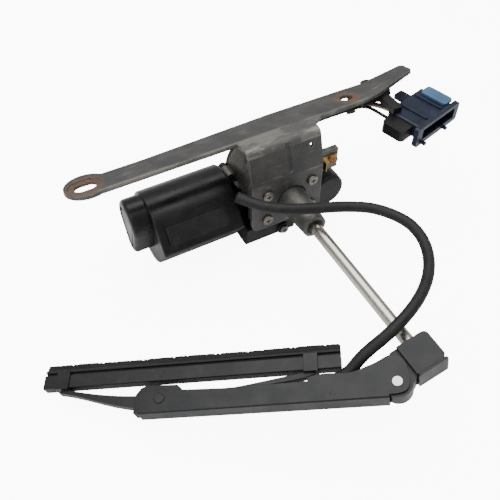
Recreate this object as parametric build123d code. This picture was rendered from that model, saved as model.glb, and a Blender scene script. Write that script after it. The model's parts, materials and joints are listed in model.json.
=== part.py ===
from build123d import *
import os
from math import acos, atan2, cos, degrees, pi, radians, sin, tan

# Headlamp wiper unit: bracket, worm gear motor, long output shaft, sprung arm, short blade, washer hose.
# The origin is the centre of the bracket's round hole, on the top face of the flange. +Z is up, +X runs
# along the flange towards the connector, and the output shaft points along -Y.

# ---------------------------------------------------------------- driving dimensions, mm and degrees
PLATE = 2.5                 # bracket sheet
FLANGE_TILT = 15            # flange leans back about X
FLANGE_FRONT = 11.8         # hole line to the front edge
FLANGE_BACK = 13.5          # hole line to the back edge
HOLE_DIA = 9.0              # clearance for an M8 screw
SLOT_LENGTH = 14.0
SLOT_SPACING = 186.0        # round hole to slot, along X
TAB_RADIUS = 14.0
END_TAB_START = 20.0
END_TAB_LENGTH = 36.0
END_TAB_RISE = 7            # the end tab bends up
WEB_LEFT, WEB_RIGHT = -90.0, -37.0
WEB_REACH = 27.0            # hole line to the web's front face, along the flange
WEB_DROP = 26.0             # flange top to the web's lower bend
MOUNT_FACE_DROP = 41.0      # height of the flat face that carries the gearbox
BEND_RADIUS = 5.0
GROOVE_RADIUS = 3.0

SHAFT_X, SHAFT_Z = -60.0, -40.0
SHAFT_DIA = 8.0
RUN_FIT = 0.04              # radial clearance of the shafts in their bushes
NOSE_LENGTH = 32.0
BUSH_WALL = 2.0

GEAR_MODULE = 1.0
WHEEL_TEETH = 40
WHEEL_START = 30.0          # front face of the wheel, behind the gearbox's mounting face
WHEEL_WIDTH = 8.0
WORM_PITCH_RADIUS = 4.5
WORM_LENGTH = 26.0
CASE_WALL = 2.5
CASE_DEPTH = 44.0
FACE_SCREW_X = (-18.5, 15.0)
FACE_SCREW_Z = 11.0
SCREW_DIA = 4.0

CAN_RADIUS = 19.5
CAN_WALL = 1.5
CAN_LEFT, CAN_RIGHT = -90.0, -38.0
COVER_WALL = 1.5
CROWN_RADIUS = 24.0         # round of the motor cover above the can
CROWN_RISE = 9.5            # motor axis to the crown's centre
CAP_WALL = 2.0
CAP_LENGTH = 13.0
LABEL_SIZE = (44.0, 14.0)
LABEL_MIDDLE = 9.0          # up from the lower end of the cover's flat
MOTOR_SHAFT_DIA = 5.0
AIR_GAP = 0.5
MAGNET_THICKNESS = 4.5
CORE_LEFT, CORE_RIGHT = -80.0, -56.0
COMMUTATOR_LEFT, COMMUTATOR_RIGHT = -50.0, -41.0
COMMUTATOR_RADIUS = 6.0
ARMATURE_SLOTS = 8
SLOT_RADIUS = 2.3

ARM_PLANE = 14              # angle of the parked arm below the horizontal
ARM_FOLD = 29.7             # fold of the arm towards the glass
PIVOT_OFFSET = 20.0         # shaft axis to arm pivot
PIVOT_Y = -180.0
ARM_LENGTH = 134.0          # pivot to blade pin
ARM_WIDTH = 13.0
ARM_TIP_WIDTH = 10.6
ARM_WALL = 1.2
ARM_WEB = -8.6              # outer face of the arm's web, below the pivot line
ARM_END = 12.5              # blade pin to the arm's end
HEAD_WIDTH = 15.0
HEAD_END = -30.0            # far end of the head, from the pivot
HEAD_STEP = -10.8           # step where the head narrows into the arm
HEAD_FACE = 16.3            # inner face of the head, above the pivot
HEAD_BACK = -2.9            # outer face of the head, under its cover
COVER_THICKNESS = 1.5
KNUCKLE_RADIUS = 8.4
PIVOT_DIA = 4.0
BLADE_PIN_DIA = 5.0
SPRING_PIN_DIA = 2.4
SPRING_WIRE = 1.1
SPRING_PIN_FIT = 0.05
SIDE_GAP = 0.3

BLADE_LENGTH = 180.0
BLADE_START = 29.5          # blade's inner end, along the arm
HOLDER_BASE = 11.6
HOLDER_HEIGHT = 8.7
HOLDER_WIDTH = 7.0
HOLDER_WALL = 0.9
LIP_HEIGHT = 6.2
CLAW_INNER, CLAW_OUTER = 46.5, 197.0
CLAW_LENGTH = 8.0
CLAW_WALL = 1.1
BOW_WIDTH = 5.0

HOSE_DIA = 7.0
HOSE_BORE = 4.0
SLEEVE_DIA = 6.0
WIRE_DIA = 2.4
SHROUD_SCREW = (-3.5, -30.0)          # screw of the lower shroud, in the gearbox frame
EARTH_PLACE = (33.5, 18.0)            # earth screw, in the gearbox frame
GROMMET_Y, GROMMET_Z = 50.2, 11.0     # cable outlet of the rear cover, in the gearbox frame

# ---------------------------------------------------------------- derived places
TILT = radians(FLANGE_TILT)
FLANGE = Plane(origin=(0, 0, 0), x_dir=(1, 0, 0), z_dir=(0, sin(TILT), cos(TILT)))
KNEE = FLANGE.from_local_coords((0, -WEB_REACH, -WEB_DROP))
FACE_Y = KNEE.Y + PLATE                                       # gearbox mounting face
GEARBOX = Location((SHAFT_X, FACE_Y, SHAFT_Z))
FACE_TOP = KNEE.Z - SHAFT_Z
FACE_BOTTOM = FACE_TOP - MOUNT_FACE_DROP

SHAFT_RADIUS = SHAFT_DIA / 2
BUSH_RADIUS = SHAFT_RADIUS + BUSH_WALL
HUB_RADIUS = BUSH_RADIUS + 4
HUB_END = WHEEL_START - 5
NOSE_TIP_RADIUS = BUSH_RADIUS + 2.2
NOSE_BASE_RADIUS = BUSH_RADIUS + 4.5
WHEEL_PITCH_RADIUS = GEAR_MODULE * WHEEL_TEETH / 2
WHEEL_TIP_RADIUS = WHEEL_PITCH_RADIUS + GEAR_MODULE
WHEEL_ROOT_RADIUS = WHEEL_PITCH_RADIUS - 1.4 * GEAR_MODULE
WHEEL_END = WHEEL_START + WHEEL_WIDTH
WORM_PITCH = pi * GEAR_MODULE
WORM_TIP_RADIUS = WORM_PITCH_RADIUS + GEAR_MODULE
WORM_ROOT_RADIUS = WORM_PITCH_RADIUS - 1.35 * GEAR_MODULE
WORM_Y = WHEEL_START + WHEEL_WIDTH / 2
WORM_Z = -(WHEEL_PITCH_RADIUS + WORM_PITCH_RADIUS)
LEAD_ANGLE = degrees(atan2(WORM_PITCH, 2 * pi * WORM_PITCH_RADIUS))
POCKET_RADIUS = WHEEL_TIP_RADIUS + 1.5
CASE_RADIUS = POCKET_RADIUS + CASE_WALL
TUNNEL_BORE = WORM_TIP_RADIUS + 1.5
TUNNEL_RADIUS = TUNNEL_BORE + CASE_WALL
WORM_BUSH_RIGHT = WORM_LENGTH / 2 + 4
TUNNEL_END = WORM_BUSH_RIGHT + 11
MOTOR_SHAFT_RADIUS = MOTOR_SHAFT_DIA / 2
MOTOR_BUSH_RADIUS = MOTOR_SHAFT_RADIUS + 2.5
MOTOR_PLATE_RIGHT = CAN_RIGHT + 6
BOSS_RADIUS = MOTOR_BUSH_RADIUS + CAN_WALL
BOSS_LEFT = CAN_LEFT - 7
CAN_BORE = CAN_RADIUS - CAN_WALL
CORE_RADIUS = CAN_BORE - MAGNET_THICKNESS - AIR_GAP
COVER_RADIUS = CAN_RADIUS + COVER_WALL
PROW = (7.0, -16.5)                                           # front lower corner of the motor cover
PROW_RADIUS = 4.0
CROWN = (WORM_Y, WORM_Z + CROWN_RISE)
COVER_LEFT, COVER_RIGHT = CAN_LEFT - COVER_WALL, MOTOR_PLATE_RIGHT
CAP_CENTRE = (CROWN[0] + 2, CROWN[1] + 8)
CAP_RADIUS = CROWN_RADIUS - 9
SHROUD_LEFT = COVER_RIGHT + SIDE_GAP
GASKET = 0.6
COVER_FACE = CASE_DEPTH + GASKET
SCREW_RADIUS = SCREW_DIA / 2
LUG_RING = CASE_RADIUS + 2
LUG_PLACES = [(LUG_RING * cos(radians(angle)), LUG_RING * sin(radians(angle))) for angle in (60, 180)]
LUG_PLACES.append((18, WORM_Z - TUNNEL_RADIUS - 2.5))

SWEEP = radians(ARM_PLANE)
RADIAL = Vector(-cos(SWEEP), 0, -sin(SWEEP))                  # from the shaft towards the arm's tip
PIVOT_AXIS = Vector(-sin(SWEEP), 0, cos(SWEEP))
PIVOT = Vector(SHAFT_X, PIVOT_Y, SHAFT_Z) + RADIAL * PIVOT_OFFSET
HEAD = Plane(origin=PIVOT, x_dir=RADIAL, z_dir=-PIVOT_AXIS)
FOLD = radians(ARM_FOLD)
ARM = Plane(origin=PIVOT, x_dir=RADIAL * cos(FOLD) + Vector(0, sin(FOLD), 0), z_dir=-PIVOT_AXIS)
ARM_FLOOR = ARM_WEB + ARM_WALL
ARM_TIP = ARM_LENGTH + ARM_END
EAR_WIDTH = ARM_WIDTH - 2 * ARM_WALL - 2 * SIDE_GAP
PIVOT_RADIUS = PIVOT_DIA / 2
BLADE_PIN_RADIUS = BLADE_PIN_DIA / 2
SPRING_PIN_RADIUS = SPRING_PIN_DIA / 2
EAR_ANCHOR = (2.6, 5.4)                                       # spring pin in the head, from the pivot
ARM_ANCHOR = (35.0, -4.3)                                     # spring pin in the arm
NOZZLE_START, NOZZLE_END = 46.5, 60.0
TAPER_LENGTH = 10.0
TAPER_DEPTH = 0.7
HOLDER_TOP = HOLDER_BASE + HOLDER_HEIGHT
NECK_HEIGHT = 1.3
NECK_WIDTH = 3.0
RAIL_HALF = HOLDER_WIDTH / 2 - HOLDER_WALL
RAIL_FLOOR = HOLDER_BASE + HOLDER_WALL
RAIL_ROOF = HOLDER_TOP - HOLDER_WALL
STRIP_INNER = RAIL_HALF - 1.0
STRIP_FLOOR = RAIL_FLOOR + 1.3
STRIP_ROOF = RAIL_ROOF - 1.9
GROMMET_RADIUS = SLEEVE_DIA / 2 + 0.8
CONNECTOR = Plane(origin=(48.5, -38, -13), x_dir=(cos(radians(15.6)), sin(radians(15.6)), 0), z_dir=(0, 0, 1))


# ---------------------------------------------------------------- helpers
def rod_x(radius, x0, x1, y=0.0, z=0.0):
    """Cylinder along X between two stations."""
    return Pos((x0 + x1) / 2, y, z) * Rot(0, 90, 0) * Cylinder(radius, x1 - x0)


def rod_y(radius, y0, y1, x=0.0, z=0.0):
    """Cylinder along Y between two stations."""
    return Pos(x, (y0 + y1) / 2, z) * Rot(90, 0, 0) * Cylinder(radius, y1 - y0)


def rod_z(radius, z0, z1, x=0.0, y=0.0):
    """Cylinder along Z between two stations."""
    return Pos(x, y, (z0 + z1) / 2) * Cylinder(radius, z1 - z0)


def motor_rod(radius, x0, x1):
    """Cylinder on the motor's axis."""
    return rod_x(radius, x0, x1, WORM_Y, WORM_Z)


def block(x0, x1, y0, y1, z0, z1):
    """Box between two corners."""
    return Pos((x0 + x1) / 2, (y0 + y1) / 2, (z0 + z1) / 2) * Box(x1 - x0, y1 - y0, z1 - z0)


def polygon(*points):
    """Closed flat face through the points."""
    return make_face(Polyline(*points, close=True))


def centred(face, width):
    """Face extruded evenly to both sides of its plane."""
    return extrude(face, width / 2, both=True)


def spring_coil(radius, wire, length, turns):
    """Coil along Z from the origin."""
    path = Helix(length / turns, length, radius)
    return sweep(Plane(origin=path @ 0, z_dir=path % 0) * Circle(wire / 2), path=path)


def tube_radii(points):
    """Each arc takes 0.45 of the shorter run beside its point."""
    radii = []
    for before, here, after in zip(points, points[1:], points[2:]):
        into = Vector(*here) - Vector(*before)
        out = Vector(*after) - Vector(*here)
        half_turn = radians(into.get_angle(out)) / 2
        radii.append(0.45 * min(into.length, out.length) / tan(half_turn))
    return radii


def tube(name, points, diameter, bore=0.0):
    """Round tube on straight runs joined by tangent arcs; prints its radii, length and volume."""
    radii = tube_radii(points)
    path = FilletPolyline(*points, radius=radii)
    start = Plane(origin=path @ 0, z_dir=path % 0)
    section = Circle(diameter / 2) - Circle(bore / 2) if bore else Circle(diameter / 2)
    solid = sweep(start * section, path=path)
    expected = pi / 4 * (diameter**2 - bore**2) * path.length
    print(name, "length", round(path.length, 1), "radii", [round(r, 1) for r in radii],
          "volume ratio", round(solid.volume / expected, 4))
    return solid


def save(name, shape):
    """Write one node."""
    export_step(shape, f"parts/{name}.step")


# ---------------------------------------------------------------- bracket
def flange_plan():
    """Plan of the strip: slotted tab, arm, neck over the web, and the end with the round hole."""
    strip = polygon(
        (-SLOT_SPACING, -FLANGE_FRONT),
        (WEB_LEFT, -FLANGE_FRONT),
        (WEB_LEFT, -WEB_REACH + 8),
        (WEB_RIGHT, -WEB_REACH + 8),
        (WEB_RIGHT + 9, -FLANGE_FRONT - 1),
        (6, -FLANGE_FRONT),
        (END_TAB_START, -9),
        (END_TAB_START, FLANGE_BACK - 0.5),
        (0, FLANGE_BACK),
        (-55, FLANGE_BACK),
        (-145, 9),
        (-SLOT_SPACING, 9),
    )
    return strip + Pos(-SLOT_SPACING + 1, 1) * Circle(TAB_RADIUS)


def web_section():
    """Side section of the web: a bend down from the flange, then a knee that makes the face upright."""
    foot = (-WEB_REACH + MOUNT_FACE_DROP * sin(TILT), -WEB_DROP - MOUNT_FACE_DROP * cos(TILT))
    section = polygon(
        (-WEB_REACH + 8, 0),
        (-WEB_REACH, 0),
        (-WEB_REACH, -WEB_DROP),
        foot,
        (foot[0] + PLATE * cos(TILT), foot[1] + PLATE * sin(TILT)),
        (-WEB_REACH + PLATE, -WEB_DROP + PLATE * tan(TILT / 2)),
        (-WEB_REACH + PLATE, -PLATE),
        (-WEB_REACH + 8, -PLATE),
    )
    outer_bend = section.vertices().sort_by_distance((-WEB_REACH, 0, 0))[0]
    section = fillet(outer_bend, BEND_RADIUS)
    inner_bend = section.vertices().sort_by_distance((-WEB_REACH + PLATE, -PLATE, 0))[0]
    return fillet(inner_bend, BEND_RADIUS - PLATE)


def mounting_bracket():
    """Pressed steel strip with a web that carries the gearbox."""
    flange = extrude(flange_plan(), -PLATE)
    tab = extrude(polygon((-1, -9), (0, -9), (END_TAB_LENGTH, 0.5), (END_TAB_LENGTH, 13), (-1, 13)), -PLATE)
    tab = fillet(tab.edges().filter_by(Axis.Z).sort_by(Axis.X)[-2:], 3)
    tab = Pos(END_TAB_START, 0, 0) * Rot(0, -END_TAB_RISE, 0) * tab
    web = Pos(WEB_LEFT, 0, 0) * extrude(Plane.YZ * web_section(), WEB_RIGHT - WEB_LEFT)
    bracket = FLANGE * (flange + tab + web)

    groove_x = (WEB_LEFT + WEB_RIGHT) / 2 + 2
    groove_y = -WEB_REACH - 0.6 * GROOVE_RADIUS
    groove = rod_z(GROOVE_RADIUS, -WEB_DROP + 4, -3, groove_x, groove_y)
    groove += Pos(groove_x, groove_y, -WEB_DROP + 4) * Sphere(GROOVE_RADIUS)
    cuts = rod_z(HOLE_DIA / 2, -2 * PLATE, PLATE) + groove
    slot = Pos(-SLOT_SPACING, 0, 0)
    cuts += slot * extrude(SlotCenterToCenter(SLOT_LENGTH - HOLE_DIA, HOLE_DIA), PLATE + 1, both=True)
    cuts += slot * extrude(SlotCenterToCenter(SLOT_LENGTH - HOLE_DIA, HOLE_DIA + 8), -0.6)
    cuts += rod_y(1.6, -WEB_REACH - 1, -WEB_REACH + 4, WEB_RIGHT - 8, -10)
    bracket -= FLANGE * cuts

    holes = rod_y(NOSE_BASE_RADIUS + 0.6, -2 * PLATE, PLATE)
    for x in FACE_SCREW_X:
        for z in (-FACE_SCREW_Z, FACE_SCREW_Z):
            holes += rod_y(SCREW_RADIUS + 0.3, -2 * PLATE, PLATE, x, z)
    bracket -= GEARBOX * holes
    feet = bracket.edges().filter_by(Axis.Y).sort_by(Axis.Z)[:2]
    return fillet(feet, 6)


# ---------------------------------------------------------------- gearbox, in its own frame
def case_envelope():
    """Outside of the housing without its bores: mounting face, round case and worm tunnel."""
    face = block(-28, 22, 0, 7, FACE_BOTTOM + 1, FACE_TOP - 2)
    face = fillet(face.edges().filter_by(Axis.Y), 5)
    face += block(18, 38, 3, 7, 9, 25)
    case = rod_y(CASE_RADIUS, 3, CASE_DEPTH)
    tunnel = motor_rod(TUNNEL_RADIUS, MOTOR_PLATE_RIGHT - 2, TUNNEL_END)
    plate = motor_rod(CAN_RADIUS, CAN_RIGHT, MOTOR_PLATE_RIGHT)
    return face + case + tunnel + plate


def cover_lugs(y0, y1, radius):
    """Round lugs for the cover screws, two on the case's rim and one under the worm tunnel."""
    lugs = Part()
    for x, z in LUG_PLACES:
        lugs += rod_y(radius, y0, y1, x, z)
    return lugs


def gearbox_housing():
    """Die-cast housing: nose with bush seats, wheel pocket, worm tunnel and motor plate."""
    nose = Rot(90, 0, 0) * Cone(NOSE_BASE_RADIUS, NOSE_TIP_RADIUS, NOSE_LENGTH,
                                align=(Align.CENTER, Align.CENTER, Align.MIN))
    body = case_envelope() + nose + cover_lugs(CASE_DEPTH - 10, CASE_DEPTH, 4)
    pocket = rod_y(POCKET_RADIUS, HUB_END, CASE_DEPTH + 1)
    core_out = rod_y(POCKET_RADIUS - 1, 9, HUB_END + 1) - rod_y(HUB_RADIUS, 9, HUB_END + 1)
    worm_bore = motor_rod(TUNNEL_BORE, MOTOR_PLATE_RIGHT + 1, WORM_BUSH_RIGHT)
    bores = rod_y(SHAFT_RADIUS + 0.6, -NOSE_LENGTH - 1, HUB_END + 1)
    bores += rod_y(BUSH_RADIUS, -NOSE_LENGTH - 1, -NOSE_LENGTH + 17)
    bores += rod_y(BUSH_RADIUS, HUB_END - 15, HUB_END + 1)
    bores += motor_rod(MOTOR_BUSH_RADIUS, CAN_RIGHT - 1, MOTOR_PLATE_RIGHT + 2)
    bores += motor_rod(MOTOR_BUSH_RADIUS, WORM_BUSH_RIGHT - 1, TUNNEL_END + 1)
    for x in FACE_SCREW_X:
        for z in (-FACE_SCREW_Z, FACE_SCREW_Z):
            bores += rod_y(SCREW_RADIUS, -1, 8, x, z)
    bores += cover_lugs(CASE_DEPTH - 7, CASE_DEPTH + 1, SCREW_RADIUS - 0.5)
    bores += rod_y(1.6, 2, 8, *EARTH_PLACE)
    return body - pocket - core_out - worm_bore - bores


def pan_screw(x, z, head_y, length, radius, head_radius):
    """Pan-head screw along +Y with a cross recess."""
    head = rod_y(head_radius, head_y - 2.2, head_y, x, z)
    head = fillet(head.edges().sort_by(Axis.Y)[0], 1)
    head -= block(x - 1.8, x + 1.8, head_y - 3, head_y - 1.2, z - 0.4, z + 0.4)
    head -= block(x - 0.4, x + 0.4, head_y - 3, head_y - 1.2, z - 1.8, z + 1.8)
    return head + rod_y(radius, head_y, head_y + length, x, z)


def gearbox_screws():
    """Four screws through the web into the mounting face."""
    return Compound([pan_screw(x, z, -PLATE, PLATE + 7.5, SCREW_RADIUS, 3.8)
                     for x in FACE_SCREW_X for z in (-FACE_SCREW_Z, FACE_SCREW_Z)])


def ring_y(outer, inner, y0, y1):
    """Ring about the output shaft."""
    return rod_y(outer, y0, y1) - rod_y(inner, y0 - 1, y1 + 1)


def ring_motor(outer, inner, x0, x1):
    """Ring about the motor's axis."""
    return motor_rod(outer, x0, x1) - motor_rod(inner, x0 - 1, x1 + 1)


def cover_plan(y0, y1, radius):
    """Plate that closes the case, its lugs and the back of the worm tunnel."""
    tail = block(-26, 26, y0, y1, WORM_Z - TUNNEL_RADIUS - 1, 0)
    return rod_y(radius, y0, y1) + cover_lugs(y0, y1, 4) + tail


def cover_gasket():
    """Rubber gasket between the case and its cover."""
    ring = cover_plan(CASE_DEPTH, COVER_FACE, CASE_RADIUS)
    opening = rod_y(POCKET_RADIUS, 0, 60) + block(-20, 20, 0, 60, WORM_Z - TUNNEL_RADIUS + 2, 0)
    return ring - opening - cover_lugs(0, 60, SCREW_RADIUS - 0.4)


def gear_cover():
    """Moulded rear cover with a contact dome, a side lobe and a terminal box."""
    plate = cover_plan(COVER_FACE, COVER_FACE + 2.5, CASE_RADIUS)
    dome = rod_y(17, COVER_FACE + 2, COVER_FACE + 7)
    dome = fillet(dome.edges().sort_by(Axis.Y)[-1], 2)
    box = block(8, 27, COVER_FACE + 2, COVER_FACE + 10, 4, 18)
    box = fillet(box.edges().filter_by(Axis.X), 2)
    lobe = rod_y(13, 3, COVER_FACE + 2.5, 34, -14)
    lobe = fillet(lobe.edges().sort_by(Axis.Y)[0], 3)
    lobe -= rod_y(11, 5.5, COVER_FACE - 1, 34, -14)
    rim = rod_y(CASE_RADIUS + 1, 0, COVER_FACE) + motor_rod(TUNNEL_RADIUS + 0.5, -40, TUNNEL_END + 1)
    rim += block(-30, 26.5, 0, COVER_FACE, 2 * WORM_Z, 26.5)
    lobe -= rim
    skirt = block(-18, 18, COVER_FACE, COVER_FACE + 2.5, WORM_Z - TUNNEL_RADIUS - 18, WORM_Z)
    skirt = fillet(skirt.edges().filter_by(Axis.Y).sort_by(Axis.Z)[:2], 6)
    cover = plate + dome + box + skirt + lobe.solids().sort_by(SortBy.VOLUME)[-1]
    cover -= rod_y(15, COVER_FACE - 1, COVER_FACE + 5) + rod_x(GROMMET_RADIUS, 20, 28, GROMMET_Y, GROMMET_Z)
    return cover - cover_lugs(COVER_FACE - 1, COVER_FACE + 6, SCREW_RADIUS - 0.4)


def cover_screws():
    """Screws that hold the rear cover and the lower shroud."""
    screws = []
    for x, z in LUG_PLACES:
        screw = pan_screw(x, -z, 0, 8, SCREW_RADIUS - 0.5, 3.2)
        screws.append(Pos(0, COVER_FACE + 2.5, 0) * Rot(180, 0, 0) * screw)
    screws.append(pan_screw(*SHROUD_SCREW, 0, 8, SCREW_RADIUS - 0.5, 3.2))
    return Compound(screws)


def lower_shroud():
    """Black moulding under the front of the case: a shell with a boss for its screw."""
    shell = block(SHROUD_LEFT, 6, 1.5, WORM_Y, -37, -21)
    shell = fillet(shell.edges().filter_by(Axis.X).sort_by(Axis.Z)[:2], 5)
    shell -= block(SHROUD_LEFT + 2, 4, 3.5, WORM_Y + 1, -35, -20)
    shell += rod_y(4.6, 0, 9, *SHROUD_SCREW)
    shell -= case_envelope()
    shell -= rod_y(SCREW_RADIUS - 0.5, -1, 10, *SHROUD_SCREW)
    return shell.solids().sort_by(SortBy.VOLUME)[-1]


# ---------------------------------------------------------------- gear train
def worm_thread_section():
    """Trapezoid of the worm's thread: x is the height above the axis, y runs along the axis."""
    root, tip = 0.62 * WORM_PITCH, 0.28 * WORM_PITCH
    inside = WORM_ROOT_RADIUS - 0.2
    return polygon((inside, -root / 2), (WORM_ROOT_RADIUS, -root / 2), (WORM_TIP_RADIUS, -tip / 2),
                   (WORM_TIP_RADIUS, tip / 2), (WORM_ROOT_RADIUS, root / 2), (inside, root / 2))


def worm():
    """Single-start right-hand worm on the motor shaft, its thread centred under the wheel's lowest gap."""
    turns = round(WORM_LENGTH / WORM_PITCH) - 1
    helix = Helix(WORM_PITCH, turns * WORM_PITCH, WORM_ROOT_RADIUS)
    start = Plane(origin=(0, 0, 0), x_dir=(1, 0, 0), z_dir=(0, -1, 0))
    thread = sweep(start * worm_thread_section(), path=helix, is_frenet=True)
    sleeve = Pos(0, 0, turns * WORM_PITCH / 2) * Cylinder(WORM_ROOT_RADIUS, WORM_LENGTH)
    upright = sleeve + thread - rod_z(MOTOR_SHAFT_RADIUS, -WORM_LENGTH, 2 * WORM_LENGTH)
    offset_x = -(turns // 2 + 0.5) * WORM_PITCH
    return Pos(offset_x, WORM_Y, WORM_Z) * Rot(0, 90, 0) * upright


def worm_wheel():
    """Plastic wheel with straight teeth turned to the worm's lead."""
    wheel = rod_y(WHEEL_TIP_RADIUS, WHEEL_START, WHEEL_END)
    wheel += rod_y(8, HUB_END + 1.6, WHEEL_END + 2.5)
    web_cut = rod_y(WHEEL_ROOT_RADIUS - 3, WHEEL_START - 1, WHEEL_START + 2) - rod_y(8, 0, WHEEL_END)
    gap = polygon((-0.65, WHEEL_ROOT_RADIUS), (0.65, WHEEL_ROOT_RADIUS),
                  (1.25, WHEEL_TIP_RADIUS + 0.2), (-1.25, WHEEL_TIP_RADIUS + 0.2))
    cutter = extrude(Plane.XZ * gap, WHEEL_WIDTH, both=True)
    cutter = Rot(0, 0, -LEAD_ANGLE) * cutter
    cutter = Rot(0, 180, 0) * cutter
    gaps = [Rot(0, i * 360 / WHEEL_TEETH, 0) * Pos(0, WORM_Y, 0) * cutter for i in range(WHEEL_TEETH)]
    wheel = wheel - gaps
    return wheel - web_cut - rod_y(SHAFT_RADIUS, 0, CASE_DEPTH)


def park_disc():
    """Copper track on the wheel's back, with the gap that stops the motor at park."""
    disc = ring_y(16, 9.5, WHEEL_END, WHEEL_END + 0.4)
    return disc - block(-2, 2, WHEEL_END - 1, WHEEL_END + 1, 12.5, 17)


def shaft_taper():
    """Cone of the shaft's end, from the origin towards -Y."""
    cone = Cone(SHAFT_RADIUS, SHAFT_RADIUS - TAPER_DEPTH, TAPER_LENGTH,
                align=(Align.CENTER, Align.CENTER, Align.MIN))
    return Rot(90, 0, 0) * cone


def output_shaft():
    """Stainless shaft: knurled seat for the wheel, clip groove, taper and thread for the arm head."""
    head_y = PIVOT_Y + HEAD_FACE - FACE_Y
    shaft = rod_y(SHAFT_RADIUS, head_y, CASE_DEPTH - 0.6)
    shaft += Pos(0, head_y, 0) * shaft_taper()
    shaft += rod_y(SHAFT_RADIUS - 1, head_y - TAPER_LENGTH - 8, head_y - TAPER_LENGTH)
    groove = rod_y(SHAFT_RADIUS + 1, WHEEL_END + 2.5, WHEEL_END + 3.5)
    groove -= rod_y(SHAFT_RADIUS - 0.7, WHEEL_END + 2, WHEEL_END + 4)
    return shaft - groove


def circlip():
    """Retaining clip behind the wheel's hub."""
    clip = ring_y(SHAFT_RADIUS + 1.6, SHAFT_RADIUS - 0.7, WHEEL_END + 2.5, WHEEL_END + 3.5)
    return clip - block(-1.4, 1.4, WHEEL_END, WHEEL_END + 5, 0, 9)


# ---------------------------------------------------------------- motor
def motor_can():
    """Deep-drawn steel can with a bearing boss at its closed end."""
    can = motor_rod(CAN_RADIUS, CAN_LEFT, CAN_RIGHT) - motor_rod(CAN_BORE, CAN_LEFT + CAN_WALL, CAN_RIGHT + 1)
    can += motor_rod(BOSS_RADIUS, BOSS_LEFT, CAN_LEFT)
    return can - motor_rod(MOTOR_BUSH_RADIUS, BOSS_LEFT + CAN_WALL, CAN_LEFT + CAN_WALL + 1)


def hull_x(x0, x1, *rounds):
    """Hull of circles given as y, z and radius, run along X."""
    edges = [edge for y, z, radius in rounds for edge in (Pos(y, z) * Circle(radius)).edges()]
    return Pos(x0, 0, 0) * extrude(Plane.YZ * make_hull(edges), x1 - x0)


def cover_body(x0, x1, inset=0.0):
    """Crown over the can, drawn out to a rounded prow at the lower front."""
    return hull_x(x0, x1, (WORM_Y, WORM_Z, COVER_RADIUS - inset), (*CROWN, CROWN_RADIUS - inset),
                  (*PROW, PROW_RADIUS - inset))


def label_plane():
    """Plane of the cover's flat between crown and prow, with x along the motor."""
    across = Vector(CROWN[0] - PROW[0], CROWN[1] - PROW[1], 0)
    lean = acos(-(CROWN_RADIUS - PROW_RADIUS) / across.length)
    angle = atan2(across.Y, across.X) + lean
    normal = Vector(0, cos(angle), sin(angle))
    middle = Vector((CAN_LEFT + CAN_RIGHT) / 2, PROW[0], PROW[1]) + normal * PROW_RADIUS
    return Plane(origin=middle, x_dir=(1, 0, 0), z_dir=normal)


def motor_cover():
    """Plastic jacket over the can, with a flat that has a recess for the label."""
    jacket = cover_body(COVER_LEFT, COVER_RIGHT)
    jacket -= cover_body(CAN_LEFT + 0.5, COVER_RIGHT - 2, COVER_WALL)
    jacket -= motor_rod(CAN_RADIUS, CAN_LEFT, COVER_RIGHT + 1)
    jacket -= motor_rod(BOSS_RADIUS, COVER_LEFT - 1, CAN_LEFT + 1)
    length, height = LABEL_SIZE
    return jacket - label_plane() * Pos(0, LABEL_MIDDLE, 0) * Box(length, height, 1.2)


def label_plate():
    """Blank rating plate in the cover's recess."""
    length, height = LABEL_SIZE
    return label_plane() * Pos(0, LABEL_MIDDLE, -0.4) * Box(length - 1, height - 1, 0.4)


def end_cap():
    """Moulded cap over the can's bearing boss and the crown's end."""
    left = COVER_LEFT - CAP_LENGTH
    cap = hull_x(left, COVER_LEFT, (WORM_Y, WORM_Z, BOSS_RADIUS + CAP_WALL), (*CAP_CENTRE, CAP_RADIUS))
    cap = fillet(cap.faces().sort_by(Axis.X)[0].edges(), 3)
    cavity = rod_x(CAP_RADIUS - CAP_WALL, BOSS_LEFT - 3, COVER_LEFT + 1, *CAP_CENTRE)
    cavity -= motor_rod(BOSS_RADIUS + CAP_WALL, BOSS_LEFT - 4, COVER_LEFT + 2)
    return cap - motor_rod(BOSS_RADIUS, BOSS_LEFT, COVER_LEFT + 1) - cavity


def magnets():
    """Two ferrite arcs inside the can."""
    arcs = []
    for middle in (90, -90):
        ring = ring_motor(CAN_BORE, CAN_BORE - MAGNET_THICKNESS, CORE_LEFT - 2, CORE_RIGHT + 2)
        wedge = polygon((0, 0), (60, 34), (60, -34))
        wedge = Plane.YZ * (Rot(0, 0, middle) * wedge)
        wedge = Pos(CORE_LEFT - 3, WORM_Y, WORM_Z) * extrude(wedge, CORE_RIGHT - CORE_LEFT + 6)
        arcs.append(ring & wedge)
    return Compound([arc.solids()[0] for arc in arcs])


def slot_row(radius, length_from, length_to, pitch_radius, neck=0.0):
    """Round slots on a circle, each with a neck out to the rim."""
    slots = Part()
    for i in range(ARMATURE_SLOTS):
        slot = rod_x(radius, length_from, length_to, pitch_radius, 0)
        if neck:
            slot += block(length_from, length_to, pitch_radius, pitch_radius + 8, -neck / 2, neck / 2)
        slots += Pos(0, WORM_Y, WORM_Z) * Rot(i * 360 / ARMATURE_SLOTS, 0, 0) * slot
    return slots


def armature_core():
    """Stack of slotted laminations."""
    core = motor_rod(CORE_RADIUS, CORE_LEFT, CORE_RIGHT) - motor_rod(MOTOR_SHAFT_RADIUS, CORE_LEFT - 1, 0)
    return core - slot_row(SLOT_RADIUS, CORE_LEFT - 1, CORE_RIGHT + 1, CORE_RADIUS - 4, 1.4)


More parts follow.
